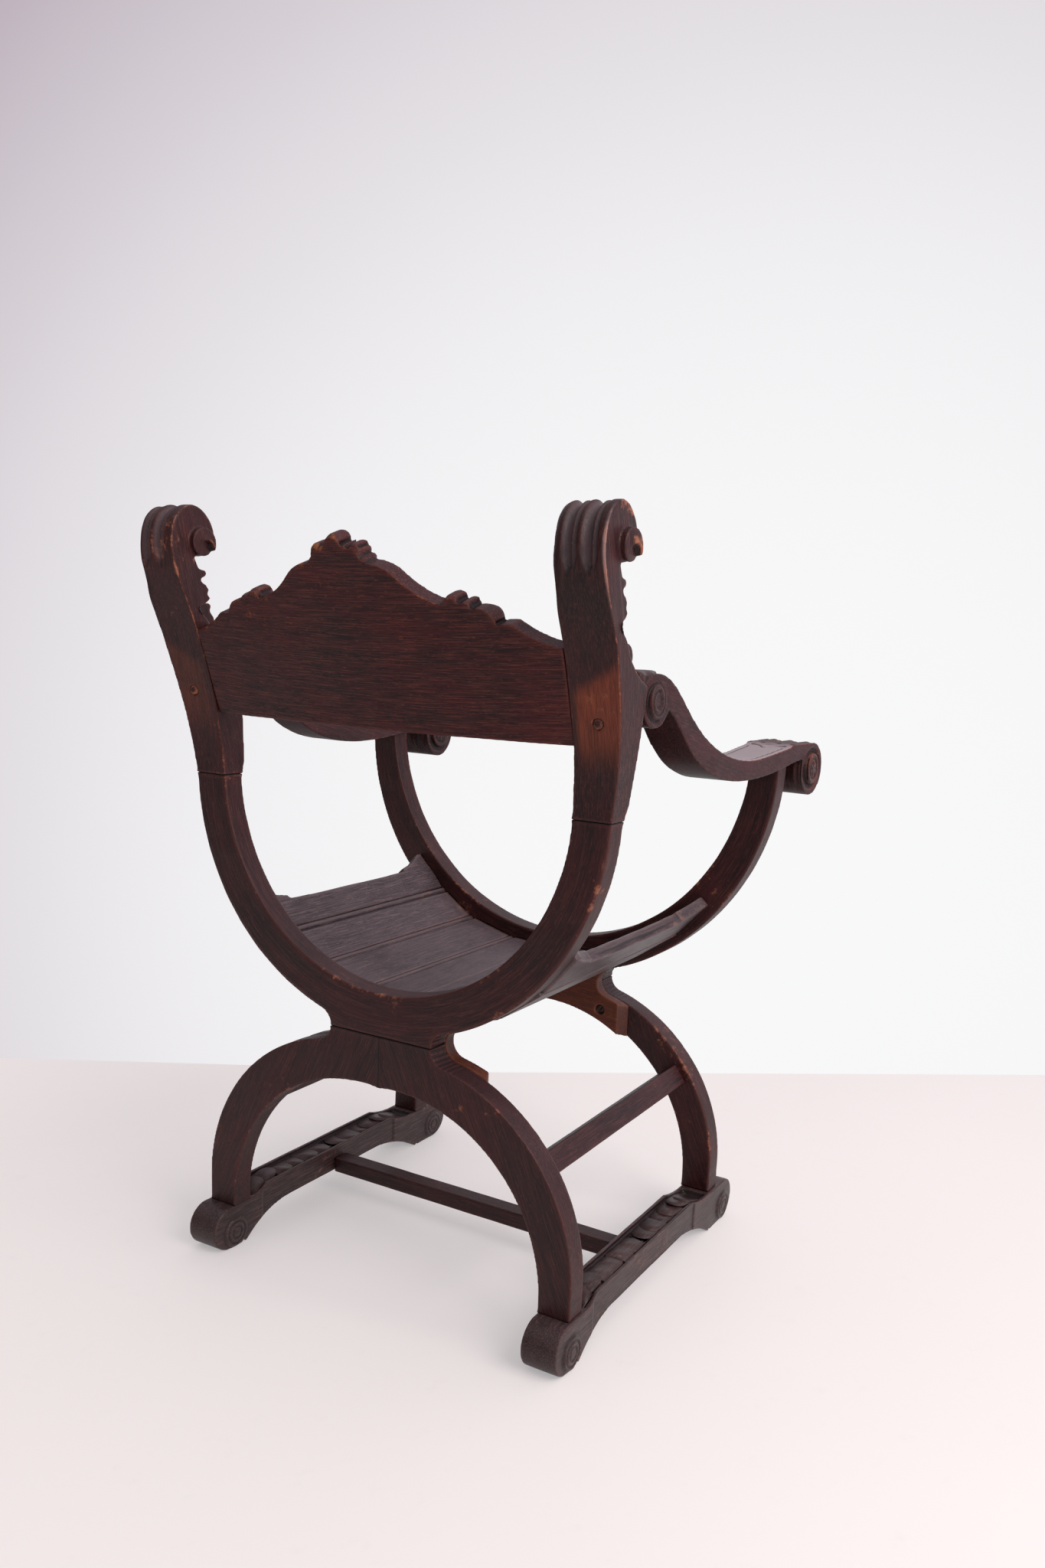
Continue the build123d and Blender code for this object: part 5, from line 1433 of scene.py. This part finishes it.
low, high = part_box("panel_pegs")
piece = grown(peg_tree, "panel_pegs", {"Start": (-0.2798, 0.0, 0.0), "Step": (0.5596, 0.0, 0.0),
                                       "Length": high.y - low.y, "Material": frame_oak})
facing_back = Matrix(((1, 0, 0), (0, 0, 1), (0, -1, 0))).to_4x4()
middle = Vector((0.0, (low.y + high.y) / 2, (low.z + high.z) / 2))
piece.data.transform(Matrix.Translation(middle) @ facing_back)
bench = Bench(piece)
grain = straight_grain(bench.points, (0.0, 1.0, 0.0))
bench.finish("panel_pegs_oak", frame_oak, grain, ["panel_pegs"])

# %% A row of slotted screws
screw_tree, given = tree_with("row of screws", row_inputs + [
    ("Head", "NodeSocketFloat", 0.0045), ("Thickness", "NodeSocketFloat", 0.0026),
    ("Slot", "NodeSocketFloat", 0.0013)])
head = add(screw_tree, "GeometryNodeMeshCylinder", {"Vertices": 40, "Radius": given["Head"],
                                                    "Depth": given["Thickness"]})
slot_size = add(screw_tree, "ShaderNodeCombineXYZ", {0: 0.02, 1: given["Slot"], 2: given["Thickness"]})
cutter = add(screw_tree, "GeometryNodeMeshCube", {"Size": slot_size})
lift = add(screw_tree, "ShaderNodeMath", {0: given["Thickness"], 1: 0.5}, operation="MULTIPLY")
lift = add(screw_tree, "ShaderNodeCombineXYZ", {2: lift})
cutter = add(screw_tree, "GeometryNodeTransform", {0: cutter, "Translation": lift})
slotted = add(screw_tree, "GeometryNodeMeshBoolean", {0: head, 1: cutter}, operation="DIFFERENCE",
              solver="EXACT")
shank = add(screw_tree, "GeometryNodeMeshCylinder", {"Vertices": 20, "Radius": given["Radius"],
                                                     "Depth": given["Length"]})
below = add(screw_tree, "ShaderNodeMath", {0: given["Length"], 1: -0.5}, operation="MULTIPLY")
below = add(screw_tree, "ShaderNodeCombineXYZ", {2: below})
shank = add(screw_tree, "GeometryNodeTransform", {0: shank, "Translation": below})
screw = add(screw_tree, "GeometryNodeJoinGeometry", {0: slotted})
screw_tree.links.new(shank, screw.node.inputs[0])
line = add(screw_tree, "GeometryNodeMeshLine", {"Count": given["Count"], "Start Location": given["Start"],
                                                "Offset": given["Step"]})
spin = add(screw_tree, "FunctionNodeRandomValue", {2: 0.0, 3: 6.28, "Seed": given["Seed"]}, out=1)
spin = add(screw_tree, "ShaderNodeCombineXYZ", {2: spin})
row = add(screw_tree, "GeometryNodeInstanceOnPoints", {0: line, "Instance": screw, "Rotation": spin})
end_tree(screw_tree, row, given["Material"])

screw_spots = ((45.0, 6.7), (97.0, 38.7))      # distance from the middle, and depth below the waist
half_head = 0.0013
for part, facing in (("back", -1), ("front", 1)):
    node = part + "_cleat_screws"
    low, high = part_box(node)
    head_y = low.y if facing < 0 else high.y
    waist = waists[part][1]
    rows = []
    for number, (x, drop) in enumerate(screw_spots):
        one = grown(screw_tree, node, {"Start": (-x * mm, 0.0, 0.0), "Step": (2 * x * mm, 0.0, 0.0),
                                       "Radius": 0.0025, "Length": high.y - low.y - half_head,
                                       "Seed": 5 + number, "Material": iron})
        turn = Matrix(((1, 0, 0), (0, 0, facing), (0, -facing, 0))).to_4x4()
        middle = Vector((0.0, head_y - facing * half_head, (waist - drop) * mm))
        one.data.transform(Matrix.Translation(middle) @ turn)
        rows.append(one)
    join_mesh(rows[0], rows[1].data.copy())
    bpy.data.objects.remove(rows[1])
    rows[0].name = node + "_iron"
    rows[0].data.shade_flat()
    rows[0].data.materials.clear()
    rows[0].data.materials.append(iron)
    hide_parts(node)
    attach(rows[0], "root")
    print(rows[0].name, len(rows[0].data.polygons), "faces")
